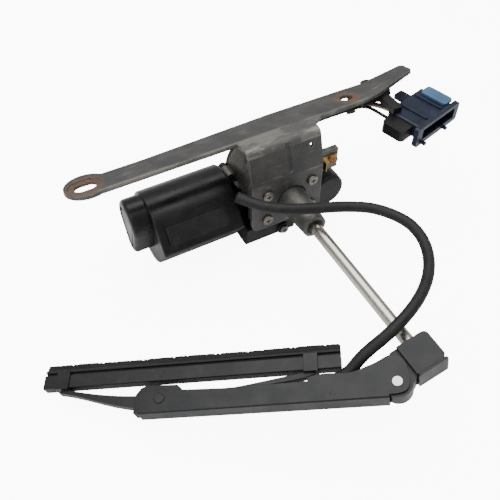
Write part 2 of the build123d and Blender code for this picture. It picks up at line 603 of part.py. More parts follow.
def armature_windings():
    """Copper in the slots, joined by the end turns."""
    turns = slot_row(SLOT_RADIUS, CORE_LEFT - 1, CORE_RIGHT + 1, CORE_RADIUS - 4)
    for x0 in (CORE_LEFT - 5, CORE_RIGHT + 0.3):
        ring = ring_motor(CORE_RADIUS - 1.2, MOTOR_SHAFT_RADIUS + 1, x0, x0 + 4.7)
        turns += fillet(ring.edges().filter_by(GeomType.CIRCLE).group_by(SortBy.RADIUS)[-1], 1.5)
    return turns


def commutator():
    """Segmented drum for the brushes."""
    drum = ring_motor(COMMUTATOR_RADIUS, MOTOR_SHAFT_RADIUS, COMMUTATOR_LEFT, COMMUTATOR_RIGHT)
    for i in range(ARMATURE_SLOTS):
        slit = block(COMMUTATOR_LEFT + 1, COMMUTATOR_RIGHT + 1, COMMUTATOR_RADIUS - 0.8, 9, -0.25, 0.25)
        drum -= Pos(0, WORM_Y, WORM_Z) * Rot((i + 0.5) * 360 / ARMATURE_SLOTS, 0, 0) * slit
    return drum


def brush_station(shape):
    """Copies a shape made for the upper brush to both brush stations."""
    middle = (COMMUTATOR_LEFT + COMMUTATOR_RIGHT) / 2
    return [Pos(middle, WORM_Y, WORM_Z) * Rot(turn, 0, 0) * shape for turn in (0, 180)]


def brush_holder():
    """Insulating ring with two brush channels."""
    ring = ring_motor(CAN_BORE, COMMUTATOR_RADIUS + 1.5, COMMUTATOR_LEFT, COMMUTATOR_RIGHT + 1)
    channel = block(-2.6, 2.6, -2.1, 2.1, 0, CAN_BORE + 1)
    for cut in brush_station(channel):
        ring -= cut
    return ring


def carbon_brushes():
    """Two carbon blocks on the commutator."""
    brush = block(-2.5, 2.5, -2, 2, COMMUTATOR_RADIUS + 0.05, CAN_BORE - 6)
    return Compound(brush_station(brush))


def brush_springs():
    """Springs that push the brushes in."""
    spring = Pos(0, 0, 0.45) * spring_coil(1.4, 0.5, 4.8, 4)
    spring += rod_z(1.7, 0, 0.3) + rod_z(1.7, 5.4, 5.8)
    return Compound(brush_station(Pos(0, 0, CAN_BORE - 6) * spring))


def armature_shaft():
    """Motor shaft from the rear bush to the thrust pad."""
    return motor_rod(MOTOR_SHAFT_RADIUS, BOSS_LEFT + CAN_WALL + 0.3, WORM_BUSH_RIGHT + 6)


# ---------------------------------------------------------------- arm head, in the head's frame
def head_rod(radius, y0, y1):
    """Cylinder on the output shaft's axis."""
    return rod_y(radius, y0, y1, -PIVOT_OFFSET, 0)


def arm_head():
    """Die-cast head: wide box over the shaft and a narrow knuckle between the arm's walls."""
    box = centred(polygon((HEAD_END, HEAD_BACK), (HEAD_STEP, HEAD_BACK), (HEAD_STEP, HEAD_FACE),
                          (HEAD_END, HEAD_FACE)), HEAD_WIDTH)
    box = fillet(box.edges().filter_by(Axis.Z).sort_by(Axis.X)[:2], 3)
    neck = centred(polygon((HEAD_STEP - 1, HEAD_BACK), (HEAD_STEP - 1, HEAD_FACE), (-6.5, HEAD_FACE),
                           (4.5, 7), (0, -5), (-6, -5.5), (HEAD_STEP, HEAD_BACK)), EAR_WIDTH)
    knuckle = rod_z(KNUCKLE_RADIUS, -EAR_WIDTH / 2, EAR_WIDTH / 2)
    head = box + neck + knuckle
    head -= Pos(-PIVOT_OFFSET, HEAD_FACE, 0) * shaft_taper()
    head -= head_rod(SHAFT_RADIUS - TAPER_DEPTH, -5, HEAD_FACE - 1)
    head -= head_rod(6.2, HEAD_BACK - 1, HEAD_FACE - TAPER_LENGTH)
    head -= rod_z(PIVOT_RADIUS + RUN_FIT, -HEAD_WIDTH, HEAD_WIDTH)
    head -= rod_z(SPRING_PIN_RADIUS, -HEAD_WIDTH, HEAD_WIDTH, *EAR_ANCHOR)
    return head - block(-0.1, 12, 2.7, 12, -1.6, 1.6)


def nut_cover():
    """Black cap that snaps over the nut."""
    half = HEAD_WIDTH / 2
    plate = block(HEAD_END, HEAD_STEP, HEAD_BACK - COVER_THICKNESS, HEAD_BACK, -half, half)
    plate = fillet(plate.edges().filter_by(Axis.Y), 1.2)
    return plate + (head_rod(6.2, HEAD_BACK, HEAD_BACK + 1.2) - head_rod(5, HEAD_BACK - 0.1, HEAD_BACK + 2))


def shaft_nut():
    """M6 flange nut on the shaft's thread."""
    seat = HEAD_FACE - TAPER_LENGTH
    nut = extrude(RegularPolygon(5.5, 6), 5.5)
    nut = Pos(-PIVOT_OFFSET, seat, 0) * Rot(90, 0, 0) * nut
    return nut + head_rod(5.9, seat - 1.2, seat) - head_rod(SHAFT_RADIUS - 1, -20, 20)


# ---------------------------------------------------------------- arm, in the arm's frame
def width_at(u):
    """Outer width of the tapering channel at a distance from the pivot."""
    share = min(max((u - 20) / (ARM_TIP - 20), 0), 1)
    return ARM_WIDTH + (ARM_TIP_WIDTH - ARM_WIDTH) * share


def taper_plan(inset, v0, v1):
    """Tapering plan of the channel between two depths."""
    wide, narrow = ARM_WIDTH / 2 - inset, ARM_TIP_WIDTH / 2 - inset
    outline = [(-20, wide), (20, wide), (ARM_TIP, narrow), (ARM_TIP + 5, narrow)]
    mirrored = [(u, -w) for u, w in reversed(outline)]
    face = Plane.XZ * polygon(*(outline + mirrored))
    return Pos(0, v1, 0) * extrude(face, v1 - v0)


def arm_side():
    """Side outline of the channel: round behind the pivot, a shoulder, a step for the hose, a round tip."""
    shoulder = Spline((-1.0, 15.3), (3.5, 15.4), (9, 12.6), (16.5, 9.6), (24, 7.2), (32, 7.2), (40, 7.4),
                      (46, 6.6))
    back = Spline((-1.0, 15.3), (-4.6, 12.2), (-6.2, 7.0), (-6.6, 0.0), (-4.6, -4.8), (0, -6.6), (4, -6.7))
    top = Polyline((46, 6.6), (48.4, 6.0), (48.4, 3.8), (97, 3.4), (122.5, 4.4), (ARM_TIP - 4, 5.0))
    corner = ThreePointArc((ARM_TIP - 4, 5.0), (ARM_TIP - 1.0, 3.8), (ARM_TIP, 1.0))
    foot = Polyline((ARM_TIP, 1.0), (ARM_TIP, ARM_WEB), (5, ARM_WEB), (5, -6.7), (4, -6.7))
    return make_face(Curve() + [shoulder, back, top, corner, foot])


def arm_channel():
    """Folded steel channel that is open towards the glass."""
    outer = centred(arm_side(), 2 * ARM_WIDTH) & taper_plan(0, ARM_WEB - 1, 30)
    channel = outer - taper_plan(ARM_WALL, ARM_FLOOR, 40)
    web_edges = channel.edges().filter_by(lambda e: abs(e.center().Y - ARM_WEB) < 0.01 and e.length > 60)
    channel = fillet(web_edges, 1.0)
    holes = rod_z(PIVOT_RADIUS, -20, 20) + rod_z(BLADE_PIN_RADIUS, -20, 20, ARM_LENGTH)
    holes += rod_z(SPRING_PIN_RADIUS, -20, 20, *ARM_ANCHOR)
    return channel - holes


def headed_pin(radius, head_radius, width, x, y=0.0):
    """Cross pin with a low domed head on each wall."""
    pin = rod_z(radius, -width / 2, width / 2, x, y)
    for side in (-1, 1):
        head = rod_z(head_radius, width / 2, width / 2 + 0.6, x, y)
        head = fillet(head.edges().sort_by(Axis.Z)[-1], 0.4)
        pin += head if side > 0 else mirror(head, Plane.XY)
    return pin


def blade_adaptor():
    """Plastic liner in the arm's tip, standing proud of the walls."""
    width = width_at(ARM_TIP + 3) - 2 * ARM_WALL - 0.1
    side = polygon((120, ARM_FLOOR), (ARM_TIP + 3, ARM_FLOOR), (ARM_TIP + 2.4, 3.5), (ARM_TIP - 0.5, 7.6),
                   (ARM_TIP - 4, 8.8), (124, 8.2), (121, 5.4), (120, 0))
    side = fillet(side.vertices().sort_by(Axis.Y)[-4:], 2)
    body = centred(side, width)
    body -= block(110, ARM_TIP + 10, ARM_FLOOR + 1.2, 20, -BOW_WIDTH / 2 - 0.2, BOW_WIDTH / 2 + 0.2)
    return body - rod_z(BLADE_PIN_RADIUS, -10, 10, ARM_LENGTH)


def arm_spring():
    """Tension spring between the head's pin and the arm's pin, with a ring hook at each end."""
    wire = SPRING_WIRE / 2
    radius = 2.0
    hook = SPRING_PIN_RADIUS + wire + SPRING_PIN_FIT
    reach = hook + 3
    head_end = Vector(*(Rot(0, 0, -ARM_FOLD) * Pos(*EAR_ANCHOR, 0)).position)
    span = Vector(*ARM_ANCHOR, 0) - head_end
    frame = Plane(origin=head_end, x_dir=(0, 0, 1), z_dir=span)
    length = span.length - 2 * reach
    spring = Pos(0, 0, reach) * spring_coil(radius, SPRING_WIRE, length, round(length / SPRING_WIRE / 1.4))
    for end, inner in ((0, reach), (span.length - SPRING_PIN_FIT, span.length - reach)):
        spring += Pos(0, 0, end) * Rot(0, 90, 0) * Torus(hook, wire)
        middle = end + (hook if end == 0 else -hook)
        spring += rod_z(wire, *sorted((middle, inner)))
        spring += rod_x(wire, -wire, radius, 0, inner)
    return frame * spring


def washer_nozzle():
    """Nozzle block on the arm's web, with a slanted barb for the hose and a jet towards the glass."""
    width = width_at(NOZZLE_END) - 2 * ARM_WALL - 0.1
    body = block(NOZZLE_START, NOZZLE_END, ARM_FLOOR, 2.6, -width / 2, width / 2)
    body = fillet(body.edges().filter_by(Axis.Z).sort_by(Axis.Y)[-2:], 1.5)
    inlet = Plane(origin=HOSE_IN_ARM[-1], z_dir=Vector(*HOSE_IN_ARM[-1]) - Vector(*HOSE_IN_ARM[-2]))
    body += inlet * rod_z(HOSE_DIA / 2 - 0.5, 0, 7)
    body += inlet * rod_z(HOSE_BORE / 2, -6, 0)
    return body - inlet * rod_z(HOSE_BORE / 2 - 0.8, -7, 5) - rod_y(0.6, -1, 5, NOZZLE_START + 4)


# ---------------------------------------------------------------- blade, in the arm's frame
def along_blade(section):
    """Section across the blade, run along its length."""
    face = Plane(origin=(BLADE_START, 0, 0), x_dir=(0, 0, -1), z_dir=(1, 0, 0)) * section
    return extrude(face, BLADE_LENGTH)


def blade_holder():
    """Plastic channel that grips the rubber's head."""
    outer = Pos(0, HOLDER_BASE + HOLDER_HEIGHT / 2) * RectangleRounded(HOLDER_WIDTH, HOLDER_HEIGHT, 0.8)
    inner = Pos(0, (RAIL_FLOOR + RAIL_ROOF) / 2) * Rectangle(2 * RAIL_HALF, RAIL_ROOF - RAIL_FLOOR)
    throat = Pos(0, HOLDER_TOP) * Rectangle(NECK_WIDTH + 0.4, 2 * HOLDER_WALL + 1)
    return along_blade(outer - inner - throat)


def wiper_rubber():
    """Rubber with a head grooved for the strips, a thin neck and a lip that narrows to its edge."""
    neck = NECK_WIDTH / 2
    lip = HOLDER_TOP + NECK_HEIGHT
    half = [(0, RAIL_FLOOR), (RAIL_HALF, RAIL_FLOOR), (RAIL_HALF, STRIP_FLOOR), (STRIP_INNER, STRIP_FLOOR),
            (STRIP_INNER, STRIP_ROOF), (RAIL_HALF, STRIP_ROOF), (RAIL_HALF, RAIL_ROOF), (neck, RAIL_ROOF),
            (neck, lip), (3.2, lip), (3.2, lip + 1.6), (1.7, lip + 2.6), (1.5, lip + 4.2),
            (0.6, lip + LIP_HEIGHT)]
    outline = half + [(-x, y) for x, y in reversed(half[1:])]
    return along_blade(polygon(*outline))


def backing_strips():
    """Two spring-steel strips in the grooves of the rubber's head."""
    strips = []
    for side in (-1, 1):
        middle = Pos(side * (STRIP_INNER + RAIL_HALF) / 2, (STRIP_FLOOR + STRIP_ROOF) / 2)
        strips.append(along_blade(middle * Rectangle(RAIL_HALF - STRIP_INNER, STRIP_ROOF - STRIP_FLOOR)))
    return Compound(strips)


def claw(u):
    """Claw at a bow's end: a floor under the holder, two cheeks and two lips over its top."""
    half = HOLDER_WIDTH / 2
    x0, x1 = u - CLAW_LENGTH / 2, u + CLAW_LENGTH / 2
    floor, roof = HOLDER_BASE - CLAW_WALL, HOLDER_TOP + CLAW_WALL
    grip = block(x0, x1, floor, roof, -half - CLAW_WALL, half + CLAW_WALL)
    grip -= block(x0 - 1, x1 + 1, HOLDER_BASE, HOLDER_TOP, -half, half)
    return grip - block(x0 - 1, x1 + 1, HOLDER_TOP - 1, roof + 1, -half + CLAW_WALL, half - CLAW_WALL)


def blade_bow():
    """Bow that spreads the arm's force to two claws, pinned in the arm's tip."""
    base = HOLDER_BASE - CLAW_WALL
    upper = Spline((CLAW_OUTER, base + 0.6), (184, 8.2), (168, 5.4), (150, 3.7), (134, 3.4), (115, 3.4),
                   (95, 4.4), (78, 6.6), (62, 9.0), (CLAW_INNER, base + 0.6))
    lower = Spline((CLAW_INNER - 2, base - 1.0), (55, 6.8), (72, 4.9), (90, 1.8), (112, -2.2), (134, -4.6),
                   (150, -3.6), (168, 0.4), (184, 5.2), (CLAW_OUTER + 2, base - 1.8))
    ends = [Line((CLAW_INNER, base + 0.6), (CLAW_INNER - 2, base - 1.0)),
            Line((CLAW_OUTER + 2, base - 1.8), (CLAW_OUTER, base + 0.6))]
    body = centred(make_face(Curve() + [upper, lower] + ends), BOW_WIDTH)
    bow = body + claw(CLAW_INNER) + claw(CLAW_OUTER)
    return bow - rod_z(BLADE_PIN_RADIUS + RUN_FIT, -10, 10, ARM_LENGTH)


# ---------------------------------------------------------------- wiring and hose
SLEEVE_ROUTE = [(SHAFT_X + 26, FACE_Y + GROMMET_Y, SHAFT_Z + GROMMET_Z),
                (SHAFT_X + 40, FACE_Y + GROMMET_Y, SHAFT_Z + GROMMET_Z), (-1, 12.5, -20.5), (13, 5, -14.5)]
PLUG_DEPTH = 26.0
PLUG_WAYS = (-16, -12, -8, -4)        # wire positions across the plug
WIRE_NAMES = ("wire_black_lower", "wire_brown", "wire_yellow", "wire_black")
PLUG_ROW = 2.5                        # height of the two rows of wires
PLUG_FLOOR, PLUG_ROOF = -4.8, 5.6
PLUG_WALL = 1.1
PLUG_LEFT, PLUG_RIGHT = -18.0, 20.0
PEG_RADIUS = 1.5
SOCKET_DEPTH = 14.0
HOSE_IN_ARM = [(17.5, 16.2, -7), (28, 7.0, 0.3), (42.5, 3.4, 0)]

HOSE_ROUTE = [(-101.3, -33.5, -19), (-92.7, -45.3, -20.5), (-78.7, -54.8, -22), (-61, -61.3, -23.5),
              (-42.2, -67.5, -25), (-26.1, -77.4, -25), (-15.4, -94.5, -25), (-14.2, -108.3, -25.5),
              (-18.2, -121.6, -26), (-27, -134.2, -26), (-39, -144.4, -25.5), (-54, -152.5, -25.3),
              (-71, -157.2, -30)]


def hose_route():
    """Route of the washer hose from its cut end to the nozzle."""
    return [Vector(*point) for point in HOSE_ROUTE] + [ARM.from_local_coords(Vector(*p)) for p in HOSE_IN_ARM]


def sleeve_end_plane():
    """Plane across the sleeve's end, with x to the left and y upwards."""
    heading = (Vector(*SLEEVE_ROUTE[-1]) - Vector(*SLEEVE_ROUTE[-2])).normalized()
    return Plane(origin=SLEEVE_ROUTE[-1], x_dir=Vector(0, 0, 1).cross(heading), z_dir=heading)


def wire_routes():
    """Four wires from the sleeve's end into the plug's rear, in two rows, without crossing."""
    sleeve = sleeve_end_plane()
    pitch = WIRE_DIA / 2 + 0.02
    routes = []
    for i, way in enumerate(PLUG_WAYS):
        side = -pitch if i < 2 else pitch
        level, row = (pitch, PLUG_ROW) if i % 2 else (-pitch, -PLUG_ROW)
        start = sleeve.from_local_coords((side, level, 0))
        first = sleeve.from_local_coords((side, level, 7))
        end = CONNECTOR.from_local_coords((way, PLUG_DEPTH, row))
        routes.append([start, first, end + CONNECTOR.y_dir * 8, end])
    return routes


def connector_housing():
    """Multi-pole plug body with a flange, pegs and a latch wing."""
    body = block(PLUG_LEFT, PLUG_RIGHT, 0, PLUG_DEPTH, PLUG_FLOOR, PLUG_ROOF)
    body = fillet(body.edges().filter_by(Axis.Y), 1.5)
    peg_z = PLUG_FLOOR - PEG_RADIUS + 0.4
    flange = block(PLUG_LEFT - 5, PLUG_RIGHT + 4, -3, 0.5, peg_z - PEG_RADIUS - 0.3, PLUG_ROOF + 1.6)
    flange = fillet(flange.edges().filter_by(Axis.Y), 2)
    pegs = rod_y(PEG_RADIUS, -6, -2, 8, peg_z) + rod_y(PEG_RADIUS, -6, -2, -16, peg_z)
    wing = block(3, 12, PLUG_DEPTH - 1, PLUG_DEPTH + 12, -1, 1.5)
    wing = fillet(wing.edges().filter_by(Axis.Z).sort_by(Axis.Y)[-2:], 2)
    ribs = [block(x, x + 2, 2, PLUG_DEPTH - 2, PLUG_ROOF - 1, PLUG_ROOF + 1.2) for x in (-8, 8)]
    socket = block(PLUG_LEFT + PLUG_WALL, PLUG_RIGHT - PLUG_WALL, -4, SOCKET_DEPTH,
                   PLUG_FLOOR + PLUG_WALL, PLUG_ROOF - PLUG_WALL)
    return body + flange + pegs + wing + ribs - socket


def terminals():
    """Four blade contacts on the floor of the plug's socket."""
    blades = []
    for i, way in enumerate(PLUG_WAYS):
        level = PLUG_ROW if i % 2 else -PLUG_ROW
        blades.append(block(way - 0.4, way + 0.4, 4, SOCKET_DEPTH, level - 1.1, level + 1.1))
    return Compound(blades)


def connector_lock():
    """Light cap over the plug's right end that locks the latch."""
    cap = block(13, 23, 2, 23, PLUG_ROOF, PLUG_ROOF + 1.8)
    return fillet(cap.edges().filter_by(Axis.Z), 2.5)


def connector_rear_cover():
    """Black cover on the plug's spare ways."""
    cover = block(PLUG_LEFT - 11, PLUG_LEFT, 5, 23, PLUG_FLOOR + 0.5, PLUG_ROOF - 1.5)
    return fillet(cover.edges().filter_by(Axis.Z).sort_by(Axis.X)[:2], 3)


def harness_clip():
    """Clip under the end tab that carries the sleeve's end and the plug, with its push-in knob behind."""
    tab = FLANGE * Pos(END_TAB_START, 0, 0) * Rot(0, -END_TAB_RISE, 0)
    block_under = block(-11, 12, -6, 16, -PLATE - 4.5, -PLATE)
    knob = rod_z(4, -PLATE - 9, -PLATE - 1, 8, 18)
    knob = fillet(knob.edges().sort_by(Axis.Z)[0], 1.5)
    body = tab * (block_under + knob)
    sleeve = sleeve_end_plane()
    body += sleeve * rod_z(SLEEVE_DIA / 2 + 1.8, -7, -1)
    body += block(8.5, 11.5, 5.5, 9.5, SLEEVE_ROUTE[-1][2] + 2, -6)
    body += block(24, 31, -23, -1, CONNECTOR.origin.Z + PLUG_ROOF, -3)
    return body - sleeve * rod_z(SLEEVE_DIA / 2, -12, 0)


# ---------------------------------------------------------------- small pieces in the gearbox frame
def shaft_bushes():
    """Two sintered bushes for the output shaft."""
    bore = SHAFT_RADIUS + RUN_FIT
    return Compound([ring_y(BUSH_RADIUS, bore, -NOSE_LENGTH + 3, -NOSE_LENGTH + 17),
                     ring_y(BUSH_RADIUS, bore, HUB_END - 15, HUB_END)])


def shaft_seal():
    """Lip seal at the nose's end."""
    return ring_y(BUSH_RADIUS, SHAFT_RADIUS + RUN_FIT, -NOSE_LENGTH, -NOSE_LENGTH + 3)


def motor_bushes():
    """Bushes of the motor shaft in the can, the motor plate and the tunnel's end."""
    bore = MOTOR_SHAFT_RADIUS + RUN_FIT
    places = ((BOSS_LEFT + CAN_WALL, CAN_LEFT), (CAN_RIGHT, MOTOR_PLATE_RIGHT + 0.5),
              (WORM_BUSH_RIGHT, WORM_BUSH_RIGHT + 6))
    return Compound([ring_motor(MOTOR_BUSH_RADIUS, bore, *place) for place in places])


def thrust_pad():
    """Plug that closes the tunnel and takes the shaft's end thrust."""
    return motor_rod(MOTOR_BUSH_RADIUS, WORM_BUSH_RIGHT + 6 + RUN_FIT, TUNNEL_END)


def thrust_washer():
    """Washer between the hub and the wheel."""
    return ring_y(SHAFT_RADIUS + 3, SHAFT_RADIUS, HUB_END + 0.3, HUB_END + 1.6)


def earth_screw():
    """Hexagon screw that earths the housing, on an ear beside the web."""
    x, z = EARTH_PLACE
    head = Pos(x, 2.2, z) * Rot(90, 0, 0) * extrude(RegularPolygon(3.2, 6), 2.2)
    return head + rod_y(1.6, 2.2, 8.5, x, z)


def earth_tab():
    """Brass tab under the earth screw, bent forward at its free end."""
    x, z = EARTH_PLACE
    tab = block(x - 9, x + 3.5, 2.2, 3, z - 3.5, z + 3.5) + block(x - 9, x - 8.2, -4, 3, z - 3.5, z + 3.5)
    return tab - rod_y(1.6, 0, 5, x, z)


def wire_grommet():
    """Rubber grommet round the sleeve in the cover's outlet."""
    inside = rod_x(GROMMET_RADIUS, 20.5, 27, GROMMET_Y, GROMMET_Z)
    collar = rod_x(GROMMET_RADIUS + 1.2, 27, 29, GROMMET_Y, GROMMET_Z)
    return inside + collar - rod_x(SLEEVE_DIA / 2, 26, 30, GROMMET_Y, GROMMET_Z)


def contact_board():
    """Board with the motor's wiring and the park contacts, in the cover's dome."""
    board = rod_y(14.5, COVER_FACE + 2.2, COVER_FACE + 3.6) - rod_y(SHAFT_RADIUS, 0, 60)
    return board


def contact_springs():
    """Three sprung contacts from the board to the park disc."""
    springs = []
    for radius in (10.6, 12.4, 14.0):
        leaf = block(-radius - 0.4, -radius + 0.4, WHEEL_END + 0.45, COVER_FACE + 2.2, -0.6, 0.6)
        springs.append(leaf)
    return Compound(springs)


def main():
    """Build and write every node."""
    os.makedirs("parts", exist_ok=True)
    save("mounting_bracket", mounting_bracket())

    gearbox_nodes = {
        "gearbox_housing": gearbox_housing, "gearbox_screws": gearbox_screws, "gear_cover": gear_cover,
        "cover_gasket": cover_gasket, "cover_screws": cover_screws, "lower_shroud": lower_shroud,
        "shaft_bushes": shaft_bushes, "shaft_seal": shaft_seal, "motor_bushes": motor_bushes,
        "thrust_pad": thrust_pad, "thrust_washer": thrust_washer, "worm": worm, "worm_wheel": worm_wheel,
        "park_disc": park_disc, "output_shaft": output_shaft, "retaining_clip": circlip,
        "motor_can": motor_can, "motor_cover": motor_cover, "label_plate": label_plate, "end_cap": end_cap,
        "magnets": magnets, "armature_shaft": armature_shaft, "armature_core": armature_core,
        "armature_windings": armature_windings, "commutator": commutator, "brush_holder": brush_holder,
        "carbon_brushes": carbon_brushes, "brush_springs": brush_springs, "earth_screw": earth_screw,
        "earth_tab": earth_tab, "wire_grommet": wire_grommet, "contact_board": contact_board,
        "contact_springs": contact_springs,
    }
    for name, build in gearbox_nodes.items():
        save(name, GEARBOX * build())

    head_nodes = {"arm_head": arm_head, "nut_cover": nut_cover, "shaft_nut": shaft_nut}
    for name, build in head_nodes.items():
        save(name, HEAD * build())
    save("spring_anchor", HEAD * rod_z(SPRING_PIN_RADIUS, -EAR_WIDTH / 2, EAR_WIDTH / 2, *EAR_ANCHOR))

    arm_nodes = {"arm_channel": arm_channel, "blade_adaptor": blade_adaptor, "arm_spring": arm_spring,
                 "washer_nozzle": washer_nozzle, "blade_bow": blade_bow, "blade_holder": blade_holder,
                 "backing_strips": backing_strips, "wiper_rubber": wiper_rubber}
    for name, build in arm_nodes.items():
        save(name, ARM * build())
    save("pivot_pin", ARM * headed_pin(PIVOT_RADIUS, 3.0, ARM_WIDTH, 0))
    save("blade_pin", ARM * headed_pin(BLADE_PIN_RADIUS, 3.2, width_at(ARM_LENGTH - 3.2), ARM_LENGTH))
    anchor_width = width_at(ARM_ANCHOR[0]) - 0.1
    save("spring_hook_pin", ARM * rod_z(SPRING_PIN_RADIUS, -anchor_width / 2, anchor_width / 2, *ARM_ANCHOR))

    save("harness_sleeve", tube("harness_sleeve", SLEEVE_ROUTE, SLEEVE_DIA))
    save("washer_hose", tube("washer_hose", hose_route(), HOSE_DIA, HOSE_BORE))
    for name, route in zip(WIRE_NAMES, wire_routes()):
        save(name, tube(name, route, WIRE_DIA))
    connector_nodes = {"connector_housing": connector_housing, "connector_lock": connector_lock,
                       "connector_rear_cover": connector_rear_cover, "terminals": terminals}
    for name, build in connector_nodes.items():
        save(name, CONNECTOR * build())
    save("harness_clip", harness_clip())


if __name__ == "__main__":
    main()
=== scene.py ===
import json
import math

import bmesh
import bpy
import numpy as np
from bpy.props import FloatProperty, FloatVectorProperty, PointerProperty
from bpy.types import Operator, Panel, PropertyGroup
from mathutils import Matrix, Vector


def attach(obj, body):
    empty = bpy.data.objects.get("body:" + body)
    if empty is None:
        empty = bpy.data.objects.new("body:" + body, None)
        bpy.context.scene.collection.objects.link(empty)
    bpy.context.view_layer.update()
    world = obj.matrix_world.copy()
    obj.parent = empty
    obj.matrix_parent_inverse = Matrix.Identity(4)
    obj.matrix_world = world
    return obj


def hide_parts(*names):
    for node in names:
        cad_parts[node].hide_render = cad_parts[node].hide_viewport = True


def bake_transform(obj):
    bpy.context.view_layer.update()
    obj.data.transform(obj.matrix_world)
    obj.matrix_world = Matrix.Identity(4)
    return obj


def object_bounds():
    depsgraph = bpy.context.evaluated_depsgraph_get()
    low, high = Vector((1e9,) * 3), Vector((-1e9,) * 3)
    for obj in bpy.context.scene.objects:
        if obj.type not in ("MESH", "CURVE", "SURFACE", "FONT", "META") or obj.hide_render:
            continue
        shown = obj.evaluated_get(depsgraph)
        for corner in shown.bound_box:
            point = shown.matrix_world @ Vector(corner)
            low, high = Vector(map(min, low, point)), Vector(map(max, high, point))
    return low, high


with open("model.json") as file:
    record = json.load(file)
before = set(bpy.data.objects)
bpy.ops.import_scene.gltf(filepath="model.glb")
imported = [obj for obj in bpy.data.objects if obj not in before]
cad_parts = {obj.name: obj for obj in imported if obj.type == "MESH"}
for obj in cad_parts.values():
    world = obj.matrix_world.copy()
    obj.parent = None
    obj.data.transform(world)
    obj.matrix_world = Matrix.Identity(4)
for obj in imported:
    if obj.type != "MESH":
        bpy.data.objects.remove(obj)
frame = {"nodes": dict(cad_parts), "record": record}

bl_info = {
    "name": "Headlamp wiper unit",
    "version": (1, 0, 0),
    "blender": (4, 5, 0),
    "location": "View3D > Sidebar > Wiper",
    "description": "Builds the looks of a headlamp wiper unit round its packed CAD frame",
    "category": "Object",
}

MM = 0.001
START_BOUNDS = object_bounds()
BODY_ROOT = "frame"
BLACK_SHEEN = 0.28                              # reflection of paint, plastic and rubber; 0.5 is glass-like

# ---------------------------------------------------------------- places shared with the CAD part, metres
COVER_LEFT, COVER_RIGHT = -0.1515, -0.0920
CAN_ROUND = (0.00369, -0.0645, 0.021)           # y, z and radius of the motor cover's three rounds
CROWN_ROUND = (0.00369, -0.0550, 0.024)
PROW_ROUND = (-0.02331, -0.0565, 0.004)
CAP_ROUNDS = ((0.00369, -0.0645, 0.0085), (0.00569, -0.0470, 0.015))
CAP_LENGTH = 0.013
LABEL_X, LABEL_UP = -0.124, 0.009
LABEL_LENGTH, LABEL_HEIGHT = 0.044, 0.014
HOSE_ROUTE = (
    (-0.1013, -0.0335, -0.0190), (-0.0927, -0.0453, -0.0205), (-0.0787, -0.0548, -0.0220),
    (-0.0610, -0.0613, -0.0235), (-0.0422, -0.0675, -0.0250), (-0.0261, -0.0774, -0.0250),
    (-0.0154, -0.0945, -0.0250), (-0.0142, -0.1083, -0.0255), (-0.0182, -0.1216, -0.0260),
    (-0.0270, -0.1342, -0.0260), (-0.0390, -0.1444, -0.0255), (-0.0540, -0.1525, -0.0253),
    (-0.0710, -0.1572, -0.0300),
)
ARM_ORIGIN = np.array((-0.079406, -0.180, -0.044838))
ARM_U = np.array((-0.842829, 0.495459, -0.210141))
ARM_V = np.array((0.480741, 0.868632, 0.119862))
ARM_W = np.array((0.241922, 0.0, -0.970296))
HOSE_IN_ARM = ((0.0175, 0.0162, -0.0070), (0.0280, 0.0070, 0.0003), (0.0425, 0.0034, 0.0))
PAINTED_PINS = ("blade_pin", "spring_hook_pin")
PLUG_ORIGIN = np.array((0.0485, -0.038, -0.013))
PLUG_X = np.array((math.cos(math.radians(15.6)), math.sin(math.radians(15.6)), 0.0))
PLUG_Y = np.array((-PLUG_X[1], PLUG_X[0], 0.0))
PLUG_DEPTH = 26 * MM
PLUG_WAYS = (-16, -12, -8, -4)                  # wire places across the plug, millimetres
PLUG_ROW = 2.5                                  # height of the two rows of wires, millimetres
SLEEVE_ROUTE = np.array(((-0.034, 0.0199, -0.029), (-0.020, 0.0199, -0.029), (-0.001, 0.0125, -0.0205),
                         (0.013, 0.005, -0.0145)))
TAPE_PITCH = 6 * MM
TAPE_STEP = 0.12 * MM
ROUND_HOLE, SLOT = (0.0, 0.0, 0.0), (-0.186, 0.0, 0.0)

# the wiper rubber's section in the arm's frame, millimetres: half widths, then heights
RAIL_HALF, STRIP_INNER, NECK_HALF = 2.6, 1.6, 1.5
RAIL_FLOOR, STRIP_FLOOR, STRIP_ROOF, RAIL_ROOF = 12.5, 13.8, 17.5, 19.4
LIP_BASE = 21.6
LIP_EDGE = LIP_BASE + 6.2
RIDGES_START = LIP_BASE + 2.6
BLADE_ENDS = (29.5, 209.5)

# ---------------------------------------------------------------- stage places, metres
CAMERA_PLACE = (-0.2355, -0.3032, 0.2766)
LIGHT_TARGET = Vector((-0.09, -0.08, -0.04))
TOP_LIGHT, TOP_WIDTH = Vector((-0.10, 0.10, 0.95)), 1.1
SIDE_LIGHT, SIDE_WIDTH = Vector((-0.95, -0.25, 0.75)), 0.7
FLOOR_HALF = 3.0


def in_arm(point):
    """Point of the arm's frame in the row frame."""
    u, v, w = point
    return ARM_ORIGIN + ARM_U * u + ARM_V * v + ARM_W * w


# ---------------------------------------------------------------- colours
def linear(colour):
    """Linear RGBA of an sRGB hex colour."""
    channels = [int(colour[i:i + 2], 16) / 255 for i in (0, 2, 4)]
    return tuple(c / 12.92 if c <= 0.04045 else ((c + 0.055) / 1.055) ** 2.4 for c in channels) + (1.0,)


# ---------------------------------------------------------------- node helpers
def add(tree, kind, links=None, **settings):
    """Adds a node with its settings; links gives each input a value or another node's output."""
    node = tree.nodes.new(kind)
    for name, value in settings.items():
        setattr(node, name, value)
    for name, value in (links or {}).items():
        socket = node.inputs[name]
        if isinstance(value, bpy.types.NodeSocket):
            tree.links.new(value, socket)
        else:
            socket.default_value = value
    return node


